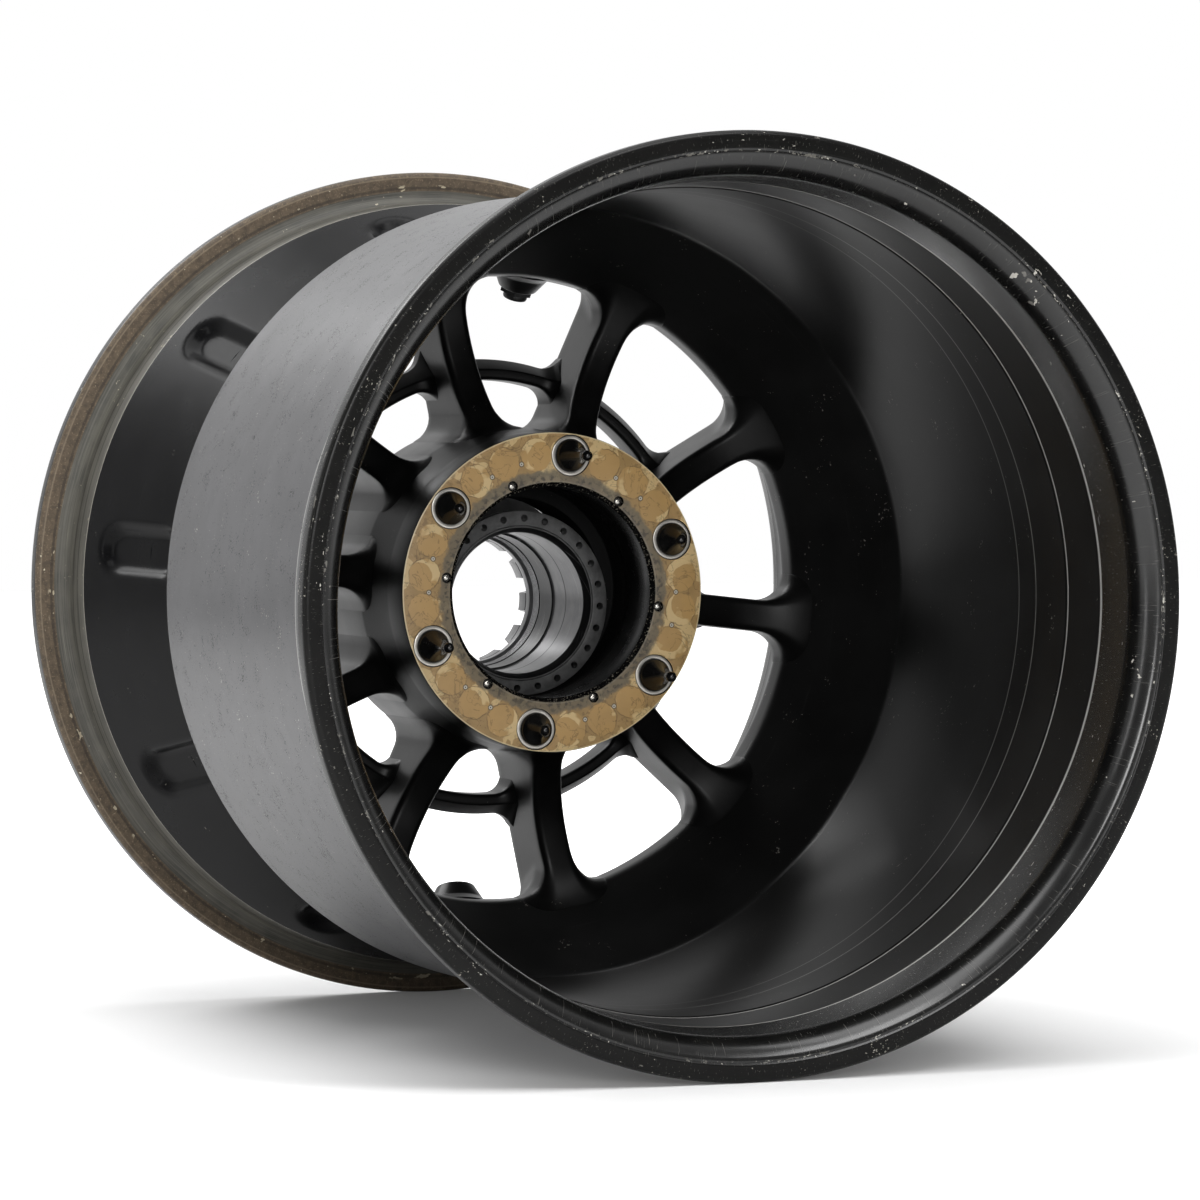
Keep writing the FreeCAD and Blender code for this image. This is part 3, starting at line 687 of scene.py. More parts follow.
def make_drive_gold():
    """Worn gold of the drive face: round contact marks, smears, small dimples and a rubbed inner band."""
    finish = Finish("drive_gold", "a08253", "b29160", 8.0, 0.42, 0.06)
    tree = finish.tree
    sector = 360.0 / PEG_COUNT
    around = finish.calc("SUBTRACT", finish.angle, math.degrees(PEG_TURN) - sector * PEG_COUNT)
    number = finish.calc("FLOOR", finish.calc("DIVIDE", around, sector))
    local = finish.calc("SUBTRACT", finish.calc("MODULO", around, sector), sector / 2)
    waver = finish.both(finish.calc("SUBTRACT", finish.noise(5.0), 0.5), 2.4)
    marks = []
    for step, offset in enumerate((-14.4, 0.0, 14.4)):
        lean = finish.calc("ADD", finish.both(number, 2.3), 1.7 * step)
        marks.append(finish.group(CONTACT_MARK, Radius=finish.radius, Local=local, Offset=offset, Lean=lean,
                                  Waver=waver).outputs)
    nearest = finish.calc("MINIMUM", marks[1]["Reach"], marks[2]["Reach"])
    nearest = finish.calc("MINIMUM", marks[0]["Reach"], nearest)
    outside = finish.rising(nearest, 6.0, 7.4)
    wander = cloud(tree, finish.point, 0.12, 2.0, 0.4, 0.3)
    level = finish.calc("SUBTRACT", 0.66, finish.weak(outside, 0.13))
    sandy = finish.rising(wander, level, finish.calc("ADD", level, 0.015))
    finish.coat(finish.weak(sandy, 0.8), "dabf8b")
    shade = finish.rising(finish.noise(18.0), 0.42, 0.58)
    shade = finish.calc("ADD", finish.weak(shade, 0.3), 0.65)
    for mark in marks:
        finish.coat(finish.both(mark["Fill"], shade), "bd985f")
    patchy = finish.rising(finish.noise(15.0), 0.47, 0.53)
    for mark in marks:
        finish.coat(finish.weak(finish.both(mark["Crescent"], patchy), 0.85), "dcc28f")
    broken = finish.rising(finish.noise(5.0), 0.42, 0.58)
    for mark in marks:
        finish.coat(finish.weak(finish.both(mark["Outline"], broken), 0.55), "6a5230")
    veins = finish.calc("SUBTRACT", cloud(tree, finish.point, 0.09, 4.0, 0.6, 0.8), 0.5)
    veins = finish.calc("ABSOLUTE", veins)
    finish.coat(finish.weak(finish.faded(veins, 0.004, 0.014), 0.4), "4d3d26")
    grime = finish.both(outside, finish.rising(finish.noise(2.6, 5.0), 0.54, 0.68))
    finish.coat(finish.weak(grime, 0.5), "6b5432")
    for offset in (-7.3, 7.3):
        away = finish.calc("RADIANS", finish.calc("SUBTRACT", local, offset))
        side = finish.both(finish.radius, finish.calc("SINE", away))
        along = finish.calc("SUBTRACT", finish.radius, 54.5)
        square = squares(tree, side, along)
        finish.coat(finish.faded(square, 1.0, 1.8), "6a5a3e", 0.4)
        finish.coat(finish.faded(square, 0.35, 0.8), "c9c4b9", 0.3)
        finish.coat(finish.faded(square, 0.05, 0.12), "3a342a", 0.4)
    ragged = finish.calc("ADD", finish.radius, finish.both(finish.noise(3.4, 5.0), 6.0))
    finish.coat(finish.weak(finish.faded(ragged, 52.0, 54.0), 0.85), "6b6353", 0.4)
    streaks = finish.rising(finish.noise(2.2, 6.0), 0.46, 0.6)
    inner = finish.faded(ragged, 50.0, 53.0)
    finish.coat(finish.weak(finish.both(streaks, inner), 0.75), "37332b", 0.4)
    finish.coat(finish.weak(finish.band(finish.radius, 45.7, 0.3, 0.3), 0.25), "9c9484", 0.35)
    finish.coat(finish.weak(finish.band(finish.radius, 65.6, 0.3, 0.3), 0.8), "e0cfa6", 0.35)
    finish.coat(finish.chips(0.9, 0.28), "3a2c1a", 0.5)
    finish.relief(finish.noise(0.8), 0.03, 0.4)
    return finish.done()


def make_peg_black():
    """Polished black of the pegs and the plug."""
    finish = Finish("peg_black", "0f0f0f", "1b1b1b", 6.0, 0.13, 0.04)
    finish.coat(finish.chips(0.7, 0.25), "5d5a55", 0.3)
    finish.relief(finish.noise(0.9), 0.02, 0.4)
    return finish.done()


def make_bush_steel():
    """Turned steel of the peg bushes."""
    finish = Finish("bush_steel", "a3a09a", "bab6af", 6.0, 0.3, 0.04, 0.9)
    finish.relief(finish.noise(3.0), 0.01, 0.2)
    return finish.done()


def make_pin_steel():
    """Bright steel of the face pins."""
    finish = Finish("pin_steel", "a09d97", "c2beb7", 2.0, 0.24, 0.06, 0.9)
    finish.relief(finish.noise(0.6), 0.02, 0.5)
    return finish.done()


def make_keeper_grey():
    """Blackened steel of the nut's keeper and cone."""
    finish = Finish("keeper_grey", "303030", "484848", 4.0, 0.5, 0.08)
    finish.coat(finish.chips(0.6, 0.35), "77746e", 0.45)
    finish.relief(finish.noise(0.7), 0.06, 0.6)
    return finish.done()


def make_nut_grey():
    """Turned metal inside the nut, with a dark thread band and bright grooves."""
    finish = Finish("nut_grey", "4b4b4d", "606061", 10.0, 0.3, 0.06, 0.4)
    finish.coat(finish.faded(finish.place, 69.6, 70.4), "161617", 0.4)
    finish.coat(finish.band(finish.place, 90.0, 0.6, 0.4), "2a2a2c", 0.5)
    finish.coat(finish.band(finish.place, 110.6, 13.6, 0.6), "121213", 0.35)
    for ring in range(5):
        finish.coat(finish.band(finish.place, 118.2 + ring * 1.4, 0.5, 0.2), "0d0d0e", 0.5)
        finish.coat(finish.band(finish.place, 118.7 + ring * 1.4, 0.3, 0.2), "c6c6c8", 0.25)
    finish.coat(finish.band(finish.place, 131.0, 0.8, 0.3), "2a2a2c", 0.5)
    finish.coat(finish.both(finish.lines(0.8)["Scratches"], 0.3), "b2b2b4", 0.3)
    finish.relief(finish.lines(0.7)["Lines"], 0.03, 0.5)
    return finish.done()


def make_valve_alloy():
    """Plain alloy of the valve stem."""
    finish = Finish("valve_alloy", "97948e", "b5b1a9", 3.0, 0.32, 0.06, 0.8)
    finish.relief(finish.noise(0.6), 0.02, 0.5)
    return finish.done()


def make_cap_black():
    """Matt black of the valve cap and ring nut."""
    finish = Finish("cap_black", "141414", "202020", 2.0, 0.5, 0.06)
    finish.relief(finish.noise(0.5), 0.04, 0.5)
    return finish.done()


LIP_BLACK = make_lip_black("lip_black", 0.55)
LIP_LAND = make_lip_black("lip_land", 0.14)
DRUM_GREY = make_drum_grey()
WELL_BLACK = make_well_black()
BEAD_GREY = make_bead_grey()
FLANGE_BROWN = make_flange_brown()
BARREL_BLACK = make_barrel_black()
SPOKE_BLACK = make_spoke_black()
BORE_BLACK = make_bore_black()
DRIVE_GOLD = make_drive_gold()
PEG_BLACK = make_peg_black()
BUSH_STEEL = make_bush_steel()
PIN_STEEL = make_pin_steel()
KEEPER_GREY = make_keeper_grey()
NUT_GREY = make_nut_grey()
VALVE_ALLOY = make_valve_alloy()
CAP_BLACK = make_cap_black()


# pieces

def wall_radius(place):
    """Radius of the barrel's inner wall beside the spokes."""
    if place < THROAT_START:
        slope = (DRUM_BORE - THROAT_RADIUS) / (THROAT_START - DRUM_BORE_END)
        return THROAT_RADIUS + slope * (THROAT_START - place)
    if place > THROAT_END:
        slope = (DISH_RADIUS - THROAT_RADIUS) / (HUMP_PLACE - THROAT_END)
        return THROAT_RADIUS + slope * (place - THROAT_END)
    return THROAT_RADIUS


def pocket_depth(radius, place, angle):
    """How deep the well wall is pressed in at a point: rounded slots in line with the spokes."""
    step = FULL_TURN / SPOKE_COUNT
    away = (angle - SPOKE_TURN + step / 2) % step - step / 2
    side = abs(away) * radius
    along = abs(place - POCKET_PLACE) - POCKET_HALF
    reach = math.hypot(side, max(along, 0.0))
    part = min(max((POCKET_REACH - reach) / POCKET_SLOPE, 0.0), 1.0)
    return POCKET_DEPTH * part * part * (3 - 2 * part)


def bell(centre, arc):
    """Points of a lip's bell mouth, between two angles about the centre of its curve."""
    first, last = arc
    points = []
    for step in range(BELL_STEPS + 1):
        turn = math.radians(first + (last - first) * step / BELL_STEPS)
        radius = centre[0] + BELL_RADIUS * math.cos(turn)
        points.append((radius, centre[1] + BELL_RADIUS * math.sin(turn), 0))
    return points


def make_barrel():
    """The forged barrel: both lips, bead seats, drum, well with its pockets, throat and dish."""
    corners = [
        (FLANGE_RADIUS, -HALF_WIDTH, LIP_ROUNDING),
        (LAND_SUPPORT, -HALF_WIDTH, 0),
        (LAND_RADIUS, -HALF_WIDTH, 0.4),
        (LAND_EDGE, -HALF_WIDTH + LAND_STEP, 0.3),
        *bell(BELL_INBOARD, BELL_INBOARD_ARC),
        (*HEEL_EDGE, 0.3),
        (*HEEL_GROOVE, 0.2),
        (*HEEL_START, 0.3),
        (*HEEL_END, 0.3),
        (DRUM_BORE, BORE_START, 0.4),
        (DRUM_BORE, DRUM_BORE_END, DRUM_ROUNDING),
        (THROAT_RADIUS, THROAT_START, WELL_ROUNDING),
        (THROAT_RADIUS, THROAT_END, WELL_ROUNDING),
        (DISH_RADIUS, HUMP_PLACE, DISH_ROUNDING),
        *bell(BELL_OUTBOARD, BELL_OUTBOARD_ARC),
        (LAND_EDGE, HALF_WIDTH - LAND_STEP, 0.3),
        (LAND_RADIUS, HALF_WIDTH, 0.4),
        (LAND_SUPPORT, HALF_WIDTH, 0),
        (FLANGE_RADIUS, HALF_WIDTH, LIP_ROUNDING),
        (FLANGE_RADIUS, FLANGE_BACK, FLANGE_ROUNDING),
        (BEAD_RADIUS, FLANGE_BACK, BEAD_ROUNDING),
        (HUMP_RADIUS, HUMP_PLACE, 1.5),
        (WELL_RADIUS, WELL_END, WELL_ROUNDING),
        (WELL_RADIUS, WELL_START, WELL_ROUNDING),
        (DRUM_RADIUS, DRUM_END, DRUM_ROUNDING),
        (DRUM_RADIUS, DRUM_START, 4.0),
        (HUMP_RADIUS, -HUMP_PLACE, 2.0),
        (BEAD_RADIUS, -FLANGE_BACK, BEAD_ROUNDING),
        (FLANGE_RADIUS, -FLANGE_BACK, FLANGE_ROUNDING),
    ]
    outline = []
    smooth_outline = rounded(corners)
    for index, point in enumerate(smooth_outline):
        outline.append(point)
        following = smooth_outline[(index + 1) % len(smooth_outline)]
        on_well_wall = point.y > following.y > 90 and point.x - following.x > 12
        for step in range(1, POCKET_ROWS if on_well_wall else 1):
            outline.append(point.lerp(following, step / POCKET_ROWS))
    piece = spun("rim_barrel", outline, BARREL_STEPS)
    for vertex in piece.data.vertices:
        spot = vertex.co / MM
        radius = math.hypot(spot.x, spot.z)
        if 94 < spot.y < 150 and radius > wall_radius(spot.y) + 3:
            depth = pocket_depth(radius, spot.y, math.atan2(spot.z, spot.x))
            if depth > 0:
                vertex.co.x *= (radius - depth * POCKET_INWARD) / radius
                vertex.co.z *= (radius - depth * POCKET_INWARD) / radius
                vertex.co.y += depth * POCKET_ALONG * MM
    smooth(piece, 50)

    def choose(centre, normal):
        """A face's place in the list of finishes below."""
        radius = math.hypot(centre.x, centre.z)
        place = abs(centre.y)
        outward = centre.x * normal.x + centre.z * normal.z > 0
        tyre_side = normal.y * centre.y < -0.2 * place
        if tyre_side and place > LIP_PLACE and radius > BORE_LIMIT:
            return 2 if radius > BROWN_RADIUS else 3
        if place > LIP_BACK and (radius > OUTER_EDGE or radius > LAND_START and abs(normal.y) > 0.8):
            return 6
        if not outward and (centre.y < BELL_END or centre.y > LIP_PLACE):
            return 0
        if not outward and radius < BORE_LIMIT:
            return 1
        if place > LIP_BACK and radius > LIP_INSIDE:
            return 0
        if place > BEAD_LIMIT:
            return 3
        return 5 if centre.y > DRUM_LIMIT else 4

    finishes = [LIP_BLACK, BARREL_BLACK, FLANGE_BROWN, BEAD_GREY, DRUM_GREY, WELL_BLACK, LIP_LAND]
    return finished(piece, finishes, choose, "wheel_forging")


def arch(shape, radius):
    """Front place of the spokes over one of their two hollow curves."""
    centre, place, reach = shape
    return place + math.sqrt(max(reach * reach - (radius - centre) ** 2, 0.0))


def spoke_front(radius):
    """Front place of a spoke at a radius."""
    if radius < BOSS_ARCH_END:
        return arch(BOSS_ARCH, radius)
    return arch(SPOKE_ARCH, min(radius, SPOKE_ARCH_END))


def flare(away, fillet):
    """How much a spoke widens at a distance from the face that it runs into."""
    if away >= fillet:
        return 0.0
    away = max(away, 0.0)
    return fillet - math.sqrt(fillet * fillet - (fillet - away) ** 2)


def row_radius(row, place):
    """Radius of a row of a spoke's points at a place: plain, or at a gap from the wall, or between."""
    radius, share, gap = row
    return radius * (1 - share) + (wall_radius(place) - gap) * share


def spoke_levels(depth, nose):
    """Distances behind a spoke's front, each with the inset of its side there."""
    levels = [(0.0, 0.0)]
    for step in range(7):
        turn = math.pi / 2 * step / 6
        levels.append((nose * (1 - math.cos(turn)), nose * (1 - math.sin(turn))))
    levels += [(nose + (depth - nose - SPOKE_EDGE) * step / 12, 0.0) for step in range(1, 13)]
    for step in range(1, 4):
        turn = math.pi / 2 * step / 3
        levels.append((depth - SPOKE_EDGE + SPOKE_EDGE * math.sin(turn), SPOKE_EDGE * (1 - math.cos(turn))))
    return levels


def spoke_row(row):
    """One ring of points about a spoke: radius, side and place of each."""
    front = SPOKE_BACK / 2
    for step in range(16):
        front = spoke_front(row_radius(row, front))
    radius = row_radius(row, front)
    depth = SPOKE_BACK - front
    widening = flare(radius - HUB_RADIUS, HUB_FILLET) + flare(wall_radius(front) - radius, RIM_FILLET)
    nose = min(SPOKE_NOSE + 0.6 * widening, depth / 2)
    half = []
    for index, (down, inset) in enumerate(spoke_levels(depth, nose)):
        place = front + down
        radius = row_radius(row, place)
        width = SPOKE_WALL / 2 + flare(radius - HUB_RADIUS, HUB_FILLET)
        width += flare(wall_radius(place) - radius, RIM_FILLET)
        half.append((0.0 if index == 0 else width - inset, place))
    half.append((0.0, SPOKE_BACK))
    ring = []
    for side, place in half + [(-side, place) for side, place in reversed(half[1:-1])]:
        radius = row_radius(row, place)
        ring.append((math.sqrt(radius * radius - side * side), side, place))
    return ring


def make_spoke():
    """One spoke from the hub to the barrel's wall, with a rounded front and wide filleted ends."""
    rows = [(radius, 0.0, 0.0) for radius in SPOKE_RADII]
    rows += [(SPOKE_RADII[-1], share, RIM_FILLET) for share in (0.35, 0.7)]
    rows += [(0.0, 1.0, gap) for gap in SPOKE_GAPS]
    rings = [spoke_row(row) for row in rows]
    vertices = [(radius * MM, place * MM, side * MM) for loop in rings for radius, side, place in loop]
    count = len(rings[0])
    faces = []
    for ring in range(len(rings) - 1):
        for index in range(count):
            after = (index + 1) % count
            base = ring * count
            faces.append((base + index, base + after, base + count + after, base + count + index))
    for base in (0, (len(rings) - 1) * count):
        for index in range(count // 2):
            corners = (index, index + 1, count - index - 1, (count - index) % count)
            faces.append([base + corner for corner in dict.fromkeys(corners)])
    mesh = bpy.data.meshes.new("spoke")
    mesh.from_pydata(vertices, [], faces)
    piece = bpy.data.objects.new("spoke", mesh)
    bpy.context.collection.objects.link(piece)
    only(piece)
    bpy.ops.object.mode_set(mode="EDIT")
    bpy.ops.mesh.select_all(action="SELECT")
    bpy.ops.mesh.normals_make_consistent(inside=False)
    bpy.ops.object.mode_set(mode="OBJECT")
    smooth(piece, 40)
    return piece


def make_spokes():
    """Ten spokes about the axis."""
    pattern = make_spoke()
    for index in range(SPOKE_COUNT):
        angle = SPOKE_TURN + index * FULL_TURN / SPOKE_COUNT
        finished(copied(pattern, "spoke_%02d" % (index + 1), turned(angle)), [SPOKE_BLACK])
    bpy.data.objects.remove(pattern, do_unlink=True)


def drill(radius, depth, circle, angle, place, sides):
    """A round cutter along the axis, at an angle on a circle about it."""
    spot = (circle * math.cos(angle) * MM, place * MM, circle * math.sin(angle) * MM)
    bpy.ops.mesh.primitive_cylinder_add(vertices=sides, radius=radius * MM, depth=depth * MM, location=spot,
                                        rotation=(math.pi / 2, 0, 0))
    return bpy.context.object


def make_hub():
    """The hub: drive face, bore, nut neck and seat, with its smooth outside."""
    corners = [
        (FACE_BORE, FACE_PLACE, 0.3),
        (MOUTH_RADIUS, FACE_PLACE + 1.8, 0.4),
        (MOUTH_RADIUS, 42.0, 0.3),
        (CHAMBER_RADIUS, 42.9, 0.3),
        (CHAMBER_RADIUS, CHAMBER_END, 1.0),
        (NECK_RADIUS, CHAMBER_END, 0.6),
        (NECK_RADIUS, NECK_END, 0.6),
        (SEAT_RADIUS, SEAT_END, 0.6),
        (RECESS_RADIUS, SEAT_END, 0.4),
        (RECESS_RADIUS, SPOKE_BACK, 1.0),
        (HUB_RADIUS, SPOKE_BACK, 2.0),
        (HUB_RADIUS, 74.0, WAIST_ROUNDING),
        (FACE_RADIUS, 46.0, WAIST_ROUNDING),
        (FACE_RADIUS, FACE_PLACE, 0.8),
    ]
    piece = spun("hub", rounded(corners, steps=5), 240)
    sockets = []
    for index in range(PEG_COUNT):
        angle = PEG_TURN + index * FULL_TURN / PEG_COUNT
        sockets.append(drill(SOCKET_RADIUS, 20, PEG_CIRCLE, angle, FACE_PLACE + 7.0, 64))
        angle += FULL_TURN / PEG_COUNT / 2
        sockets.append(drill(PIN_SOCKET, 16, PIN_CIRCLE, angle, FACE_PLACE + 4.0, 40))
    cut_by(piece, joined("hub_sockets", sockets))
    smooth(piece, 30)

    def choose(centre, normal):
        radius = math.hypot(centre.x, centre.z)
        if centre.y < FACE_PLACE + 0.4 and normal.y < -0.5:
            return 1
        if radius < 54:
            return 2
        return 0

    return finished(piece, [SPOKE_BLACK, DRIVE_GOLD, BORE_BLACK], choose)


def make_tie_ring():
    """The ring that ties the spokes together behind their middles, with a sloped face and filleted joints."""
    corners = [
        (TIE_BORE, TIE_FRONT, 3.0),
        (92.6, TIE_FRONT, 1.2),
        (TIE_RADIUS, 114.5, 1.2),
        (TIE_RADIUS, TIE_BACK, 1.0),
        (TIE_BORE, TIE_BACK, 1.5),
    ]
    piece = spun("tie_ring", rounded(corners, steps=5), 720)
    step = FULL_TURN / SPOKE_COUNT
    for vertex in piece.data.vertices:
        spot = vertex.co / MM
        radius = math.hypot(spot.x, spot.z)
        away = (math.atan2(spot.z, spot.x) - SPOKE_TURN + step / 2) % step - step / 2
        swell = min(flare(abs(away) * radius - SPOKE_WALL / 2, TIE_FILLET), TIE_SWELL)
        share = (radius - (TIE_RADIUS + TIE_BORE) / 2) / ((TIE_RADIUS - TIE_BORE) / 2)
        grown = (radius + swell * share) / radius
        vertex.co.x *= grown
        vertex.co.z *= grown
        front = (TIE_BACK - spot.y) / (TIE_BACK - TIE_FRONT)
        vertex.co.y -= 0.6 * swell * front * MM
    smooth(piece, 40)
    return finished(piece, [SPOKE_BLACK])


def on_boss(angle):
    """Turns a piece made about the Y axis onto a boss's place, square to the dish wall."""
    radius = wall_radius(BOSS_PLACE)
    out = Vector((math.cos(angle), 0, math.sin(angle)))
    rise = DISH_RADIUS - THROAT_RADIUS
    run = HUMP_PLACE - THROAT_END
    inward = (out * -run + Vector((0, rise, 0))).normalized()
    spot = Matrix.Translation((out * radius + Vector((0, BOSS_PLACE, 0))) * MM)
    return spot @ Vector((0, 1, 0)).rotation_difference(inward).to_matrix().to_4x4()


def lathe(name, corners, steps, matrix, degrees=30):
    """A small turned piece made about the Y axis, then put in its place."""
    piece = spun(name, rounded(corners, closed=False, steps=5), steps, closed=False)
    piece.data.transform(matrix)
    smooth(piece, degrees)
    return piece


def make_bosses():
    """Two bosses on the dish wall, one with the valve and one with the plug."""
    for name, angle in (("valve_boss", BOSS_TURN), ("plug_boss", BOSS_TURN + math.pi)):
        corners = [(0, -2.0, 0), (BOSS_BASE + 4, -2.0, 0), (BOSS_BASE, 1.0, 4.0), (BOSS_TOP, BOSS_RISE, 1.2),
                   (0, BOSS_RISE, 0)]
        finished(lathe(name, corners, 72, on_boss(angle)), [BARREL_BLACK])
    seat = on_boss(BOSS_TURN)
    shank = [(0, -6.1, 0), (SHANK_HEAD, -6.1, 0.4), (SHANK_HEAD, -4.5, 0.4), (SHANK_RADIUS, -4.5, 0.2)]
    stem = lathe("valve_stem_turned", shank + [(SHANK_RADIUS, STEM_END, 0.4), (0, STEM_END, 0)], 48, seat)
    finished(stem, [VALVE_ALLOY], node="valve_stem")
    shell = [(0, 11.6, 0), (CAP_BORE, 11.6, 0.2), (CAP_BORE, 10.1, 0.2)]
    shell += [(CAP_RADIUS, 10.1, 0.3), (CAP_RADIUS, 12.8, 0.8), (0, 12.8, 0)]
    finished(lathe("valve_cap_turned", shell, 48, seat), [CAP_BLACK], node="valve_cap")
    screw = shank + [(SHANK_RADIUS, PLUG_END, 0.4), (2.2, PLUG_END, 0.2), (1.8, 5.8, 0.2), (0, 5.8, 0)]
    plug = lathe("blank_plug_turned", screw, 48, on_boss(BOSS_TURN + math.pi))
    finished(plug, [PEG_BLACK], node="blank_plug")


def make_pegs():
    """Six tapered pegs, long and short in turn, each in its bush."""
    foot = FACE_PLACE + PEG_DEPTH
    for index in range(PEG_COUNT):
        length = PEG_LONG if index % 2 else PEG_SHORT
        angle = PEG_TURN + index * FULL_TURN / PEG_COUNT
        spot = Matrix.Translation(Vector((math.cos(angle), 0, math.sin(angle))) * PEG_CIRCLE * MM)
        start = Vector((PEG_RADIUS, FACE_PLACE - 1.0))
        end = Vector((PEG_NOSE, FACE_PLACE - length + PEG_NOSE))
        middle = (start + end) / 2
        chord = end - start
        reach = math.sqrt(PEG_CURVE ** 2 - (chord.length / 2) ** 2)
        side = Vector((-chord.y, chord.x)).normalized()
        centre = middle + side * (reach if side.x > 0 else -reach)
        outline = [Vector((0, foot)), Vector((PEG_RADIUS, foot)), start.copy()]
        for step in range(1, 13):
            point = start.lerp(end, step / 12) - centre
            outline.append(centre + point.normalized() * PEG_CURVE)
        for step in range(1, 9):
            turn = math.pi / 2 * step / 8
            outline.append(Vector((PEG_NOSE * math.cos(turn), end.y - PEG_NOSE * math.sin(turn))))
        piece = spun("peg_turned_%d" % (index + 1), outline, 64, closed=False)
        piece.data.transform(spot)
        smooth(piece, 40)
        finished(piece, [PEG_BLACK], node="drive_peg_%d" % (index + 1))
        corners = [(BUSH_BORE, FACE_PLACE, 0.2), (BUSH_BORE, foot, 0.2), (BUSH_RADIUS, foot, 0.2),
                   (BUSH_RADIUS, FACE_PLACE, 0.3)]
        bush = spun("bush_turned_%d" % (index + 1), rounded(corners, steps=4), 64)
        bush.data.transform(spot)
        smooth(bush, 40)
        finished(bush, [BUSH_STEEL], node="peg_bush_%d" % (index + 1))


def make_pins():
    """Six domed pins sunk in the drive face."""
    pins = []
    for index in range(PEG_COUNT):
        angle = PEG_TURN + (index + 0.5) * FULL_TURN / PEG_COUNT
        spot = Matrix.Translation(Vector((math.cos(angle), 0, math.sin(angle))) * PIN_CIRCLE * MM)
        top = FACE_PLACE + PIN_SINK
        dome = []
        for step in range(9):
            turn = math.pi / 2 * step / 8
            dome.append((PIN_RADIUS * math.sin(turn), top + 0.4 - 1.8 * math.cos(turn), 0))
        end = top + PIN_LENGTH
        pins.append(lathe("pin", dome + [(PIN_RADIUS, end, 0.3), (0, end, 0)], 32, spot))
    return finished(joined("face_pins_turned", pins), [PIN_STEEL], node="face_pins")


def make_nut():
    """The loose wheel nut lying in the bore: castellated sleeve, and the drilled keeper on its nose."""
    drop = Matrix.Translation((0, 0, -NUT_DROP * MM))
    corners = [
        (31.6, NUT_PLACE, 0.3),
        (SLEEVE_BORE, 70.0, 0.5),
        (SLEEVE_BORE, THREAD_START, 0.4),
        (THREAD_BORE, THREAD_START + 1.0, 0.4),
    ]
    bottom = THREAD_BORE - GROOVE_DEPTH
    for ring in range(GROOVE_COUNT):
        place = GROOVE_START + ring * GROOVE_PITCH
        corners += [(THREAD_BORE, place, 0.1), (bottom, place + 0.35, 0.1)]
        corners += [(bottom, place + 0.7, 0.1), (THREAD_BORE, place + 1.0, 0.1)]
    corners += [
        (THREAD_BORE, RING_START, 0.2),
        (RING_BORE, 126.6, 0.4),
        (RING_BORE, 130.6, 0.2),
        (27.3, 131.0, 0.2),
        (RING_BORE, 131.4, 0.2),
        (RING_BORE, NUT_END, 0.5),
        (SLEEVE_RADIUS, NUT_END, 0.6),
        (SLEEVE_RADIUS, COLLAR_END, 0.6),
        (COLLAR_RADIUS, COLLAR_END, 0.8),
        (COLLAR_RADIUS, COLLAR_START, 0.8),
        (SLEEVE_RADIUS, NECK_END, 0.8),
        (SLEEVE_RADIUS, KEEPER_END, 0.2),
        (SPIGOT_RADIUS, KEEPER_END, 0.2),
        (SPIGOT_RADIUS, NUT_PLACE, 0.3),
    ]
    sleeve = spun("nut_sleeve_turned", rounded(corners, steps=3), 240)
    gaps = []
    for index in range(TOOTH_COUNT):
        angle = TOOTH_TURN + (index + 0.5) * FULL_TURN / TOOTH_COUNT
        bpy.ops.mesh.primitive_cube_add(size=1, location=(30 * MM, NUT_END * MM, 0))
        gap = bpy.context.object
        gap.data.transform(Matrix.Diagonal((12 * MM, 2 * TOOTH_DEPTH * MM, TOOTH_GAP * MM, 1)))
        gap.data.transform(turned(angle) @ Matrix.Translation((30 * MM, NUT_END * MM, 0)))
        gap.location = (0, 0, 0)
        gaps.append(gap)
    cut_by(sleeve, joined("nut_gaps", gaps))
    sleeve.data.transform(drop)
    smooth(sleeve, 30)

    def choose(centre, normal):
        across, height = centre.x, centre.z + NUT_DROP
        return 1 if math.hypot(across, height) > 31.7 and centre.y < 119.5 else 0

    finished(sleeve, [NUT_GREY, KEEPER_GREY], choose, "nut_sleeve")
    corners = [
        (KEEPER_BORE, NUT_PLACE, 0.5),
        (KEEPER_BORE, KEEPER_END, 0.2),
        (KEEPER_RADIUS, KEEPER_END, 0.4),
        (KEEPER_RADIUS, NUT_PLACE, 0.6),
    ]
    keeper = spun("nut_keeper_turned", rounded(corners, steps=4), 240)
    holes = []
    for index in range(KEEPER_HOLES):
        angle = KEEPER_TURN + index * FULL_TURN / KEEPER_HOLES
        holes.append(drill(KEEPER_HOLE, 12, KEEPER_CIRCLE, angle, (NUT_PLACE + KEEPER_END) / 2, 28))
    cut_by(keeper, joined("keeper_holes", holes))
    keeper.data.transform(drop)
    smooth(keeper, 30)
    finished(keeper, [KEEPER_GREY], node="nut_keeper")


make_barrel()
make_spokes()
make_hub()
make_tie_ring()
make_bosses()
make_pegs()
make_pins()
make_nut()
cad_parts["valve_nut"].data.materials.clear()
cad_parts["valve_nut"].data.materials.append(CAP_BLACK)


# floor, light and camera

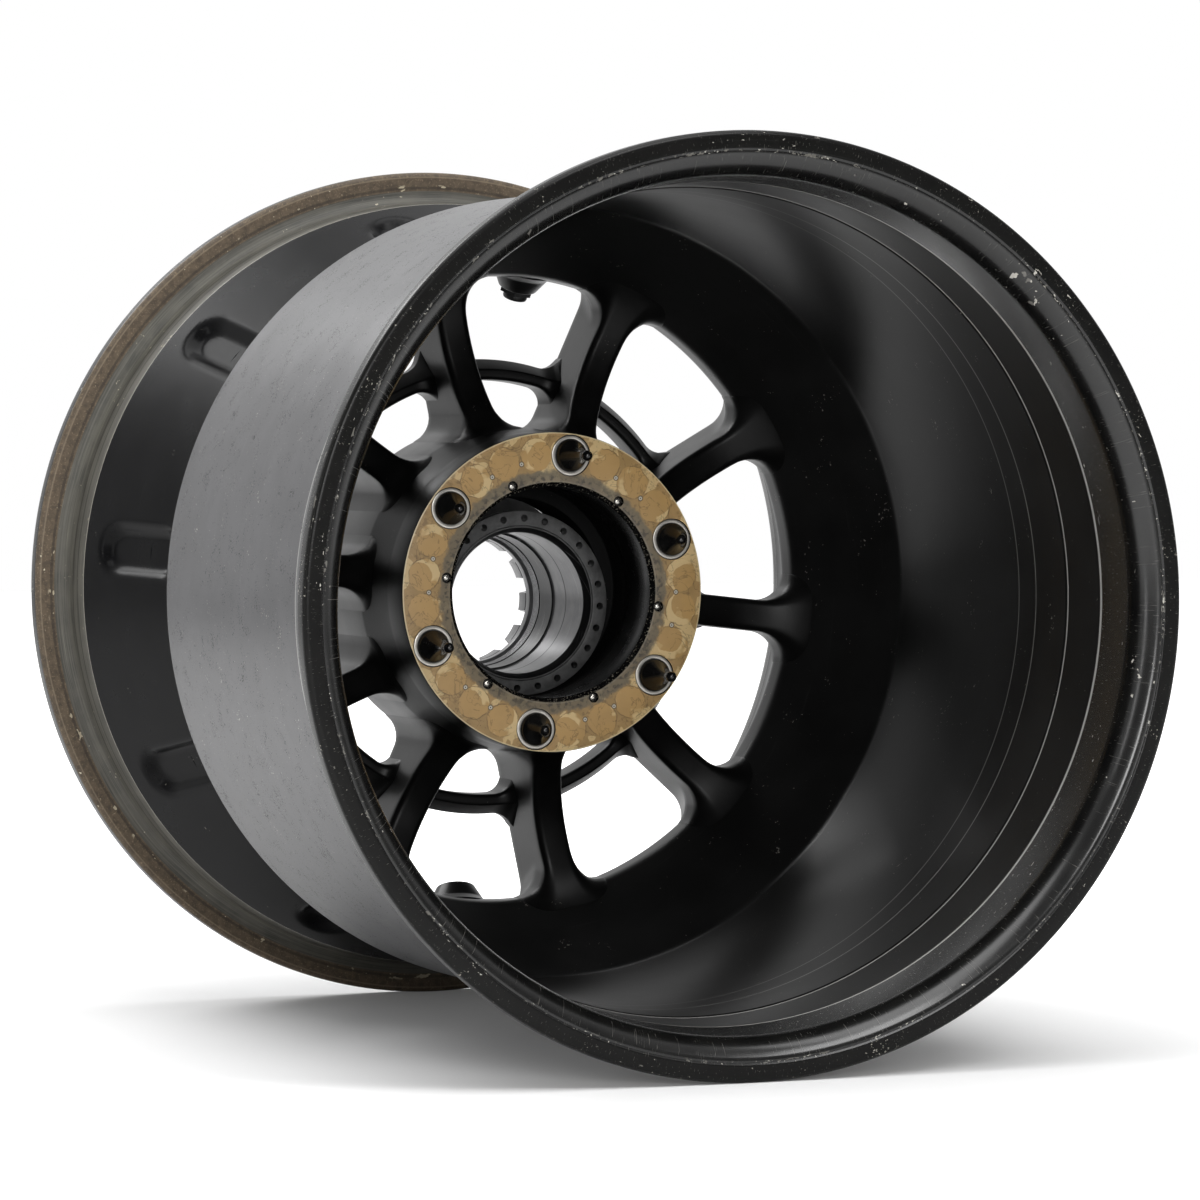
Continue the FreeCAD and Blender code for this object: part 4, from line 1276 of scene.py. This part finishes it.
def make_floor():
    """A plain white floor that keeps the wheel's shadow."""
    bpy.ops.mesh.primitive_plane_add(size=12, location=(0, 0, -FLANGE_RADIUS * MM))
    floor = bpy.context.object
    floor.name = "floor"
    paper = bpy.data.materials.new("floor_white")
    paper.use_nodes = True
    tree = paper.node_tree
    shader = tree.nodes["Principled BSDF"]
    shader.inputs["Base Color"].default_value = (0.9, 0.9, 0.9, 1)
    shader.inputs["Roughness"].default_value = 0.9
    path = tree.nodes.new("ShaderNodeLightPath")
    seen = calc(tree, "MAXIMUM", path.outputs["Is Camera Ray"], path.outputs["Is Transmission Ray"])
    seen = calc(tree, "MAXIMUM", seen, calc(tree, "MULTIPLY", path.outputs["Is Glossy Ray"], 0.15))
    shader.inputs["Emission Color"].default_value = (1, 1, 1, 1)
    spot = tree.nodes.new("ShaderNodeTexCoord")
    length = tree.nodes.new("ShaderNodeVectorMath")
    length.operation = "LENGTH"
    tree.links.new(spot.outputs["Object"], length.inputs[0])
    far = calc(tree, "MULTIPLY", swept(tree, length.outputs["Value"], 0.24, 0.6), 0.9)
    far = calc(tree, "ADD", far, 0.04)
    tree.links.new(calc(tree, "MULTIPLY", seen, far), shader.inputs["Emission Strength"])
    floor.data.materials.append(paper)


def make_world():
    """White to the camera and in reflections, softer as a light."""
    world = bpy.data.worlds.new("studio")
    bpy.context.scene.world = world
    world.use_nodes = True
    tree = world.node_tree
    path = tree.nodes.new("ShaderNodeLightPath")
    sky = tree.nodes.new("ShaderNodeTexCoord")
    parts = tree.nodes.new("ShaderNodeSeparateXYZ")
    tree.links.new(sky.outputs["Generated"], parts.inputs[0])
    behind = calc(tree, "MULTIPLY", swept(tree, parts.outputs["Y"], -0.5, 0.3), 0.75)
    behind = calc(tree, "ADD", behind, 0.25)
    seen = calc(tree, "MAXIMUM", path.outputs["Is Camera Ray"], path.outputs["Is Transmission Ray"])
    shone = calc(tree, "ADD", calc(tree, "MULTIPLY", path.outputs["Is Glossy Ray"], 0.5), 0.5)
    strength = calc(tree, "MAXIMUM", seen, calc(tree, "MULTIPLY", shone, behind))
    background = tree.nodes["Background"]
    background.inputs["Color"].default_value = (1, 1, 1, 1)
    tree.links.new(strength, background.inputs["Strength"])


def make_lamp(name, place, target, size, power):
    """A soft rectangular lamp: places and size in metres, power in watts."""
    lamp = bpy.data.lights.new(name, "AREA")
    lamp.shape = "RECTANGLE"
    lamp.size, lamp.size_y = size
    lamp.energy = power
    holder = bpy.data.objects.new(name, lamp)
    holder.location = place
    holder.rotation_euler = (Vector(target) - Vector(place)).to_track_quat("-Z", "Y").to_euler()
    bpy.context.collection.objects.link(holder)


def make_camera():
    """The camera of the photo, fitted to both lips."""
    lens = bpy.data.cameras.new("photo_camera")
    lens.sensor_width = 36
    lens.sensor_fit = "HORIZONTAL"
    lens.lens = 162.23
    lens.clip_start = 0.05
    holder = bpy.data.objects.new("photo_camera", lens)
    holder.location = (-0.80202, -2.04723, 0.06547)
    holder.rotation_euler = Vector((0.368325, 0.929187, -0.030841)).to_track_quat("-Z", "Y").to_euler()
    bpy.context.collection.objects.link(holder)
    bpy.context.scene.camera = holder


make_floor()
make_world()
make_lamp("top_softbox", (-0.2, -0.3, 2.0), (0, 0, 0), (2.0, 2.0), 43)
make_lamp("left_softbox", (-2.0, -1.0, 0.3), (0, 0, 0), (0.2, 1.6), 5)
make_lamp("camera_softbox", (-0.7, -2.6, 0.55), (0, 0, 0), (0.9, 0.7), 24)
make_lamp("high_softbox", (0.5, -1.8, 1.9), (0, 0, 0), (1.0, 1.0), 26)
make_lamp("back_softbox", (-0.9, 1.7, 1.5), (0, 0, 0), (1.4, 1.0), 27)
make_camera()
bpy.context.scene.view_settings.view_transform = "Standard"
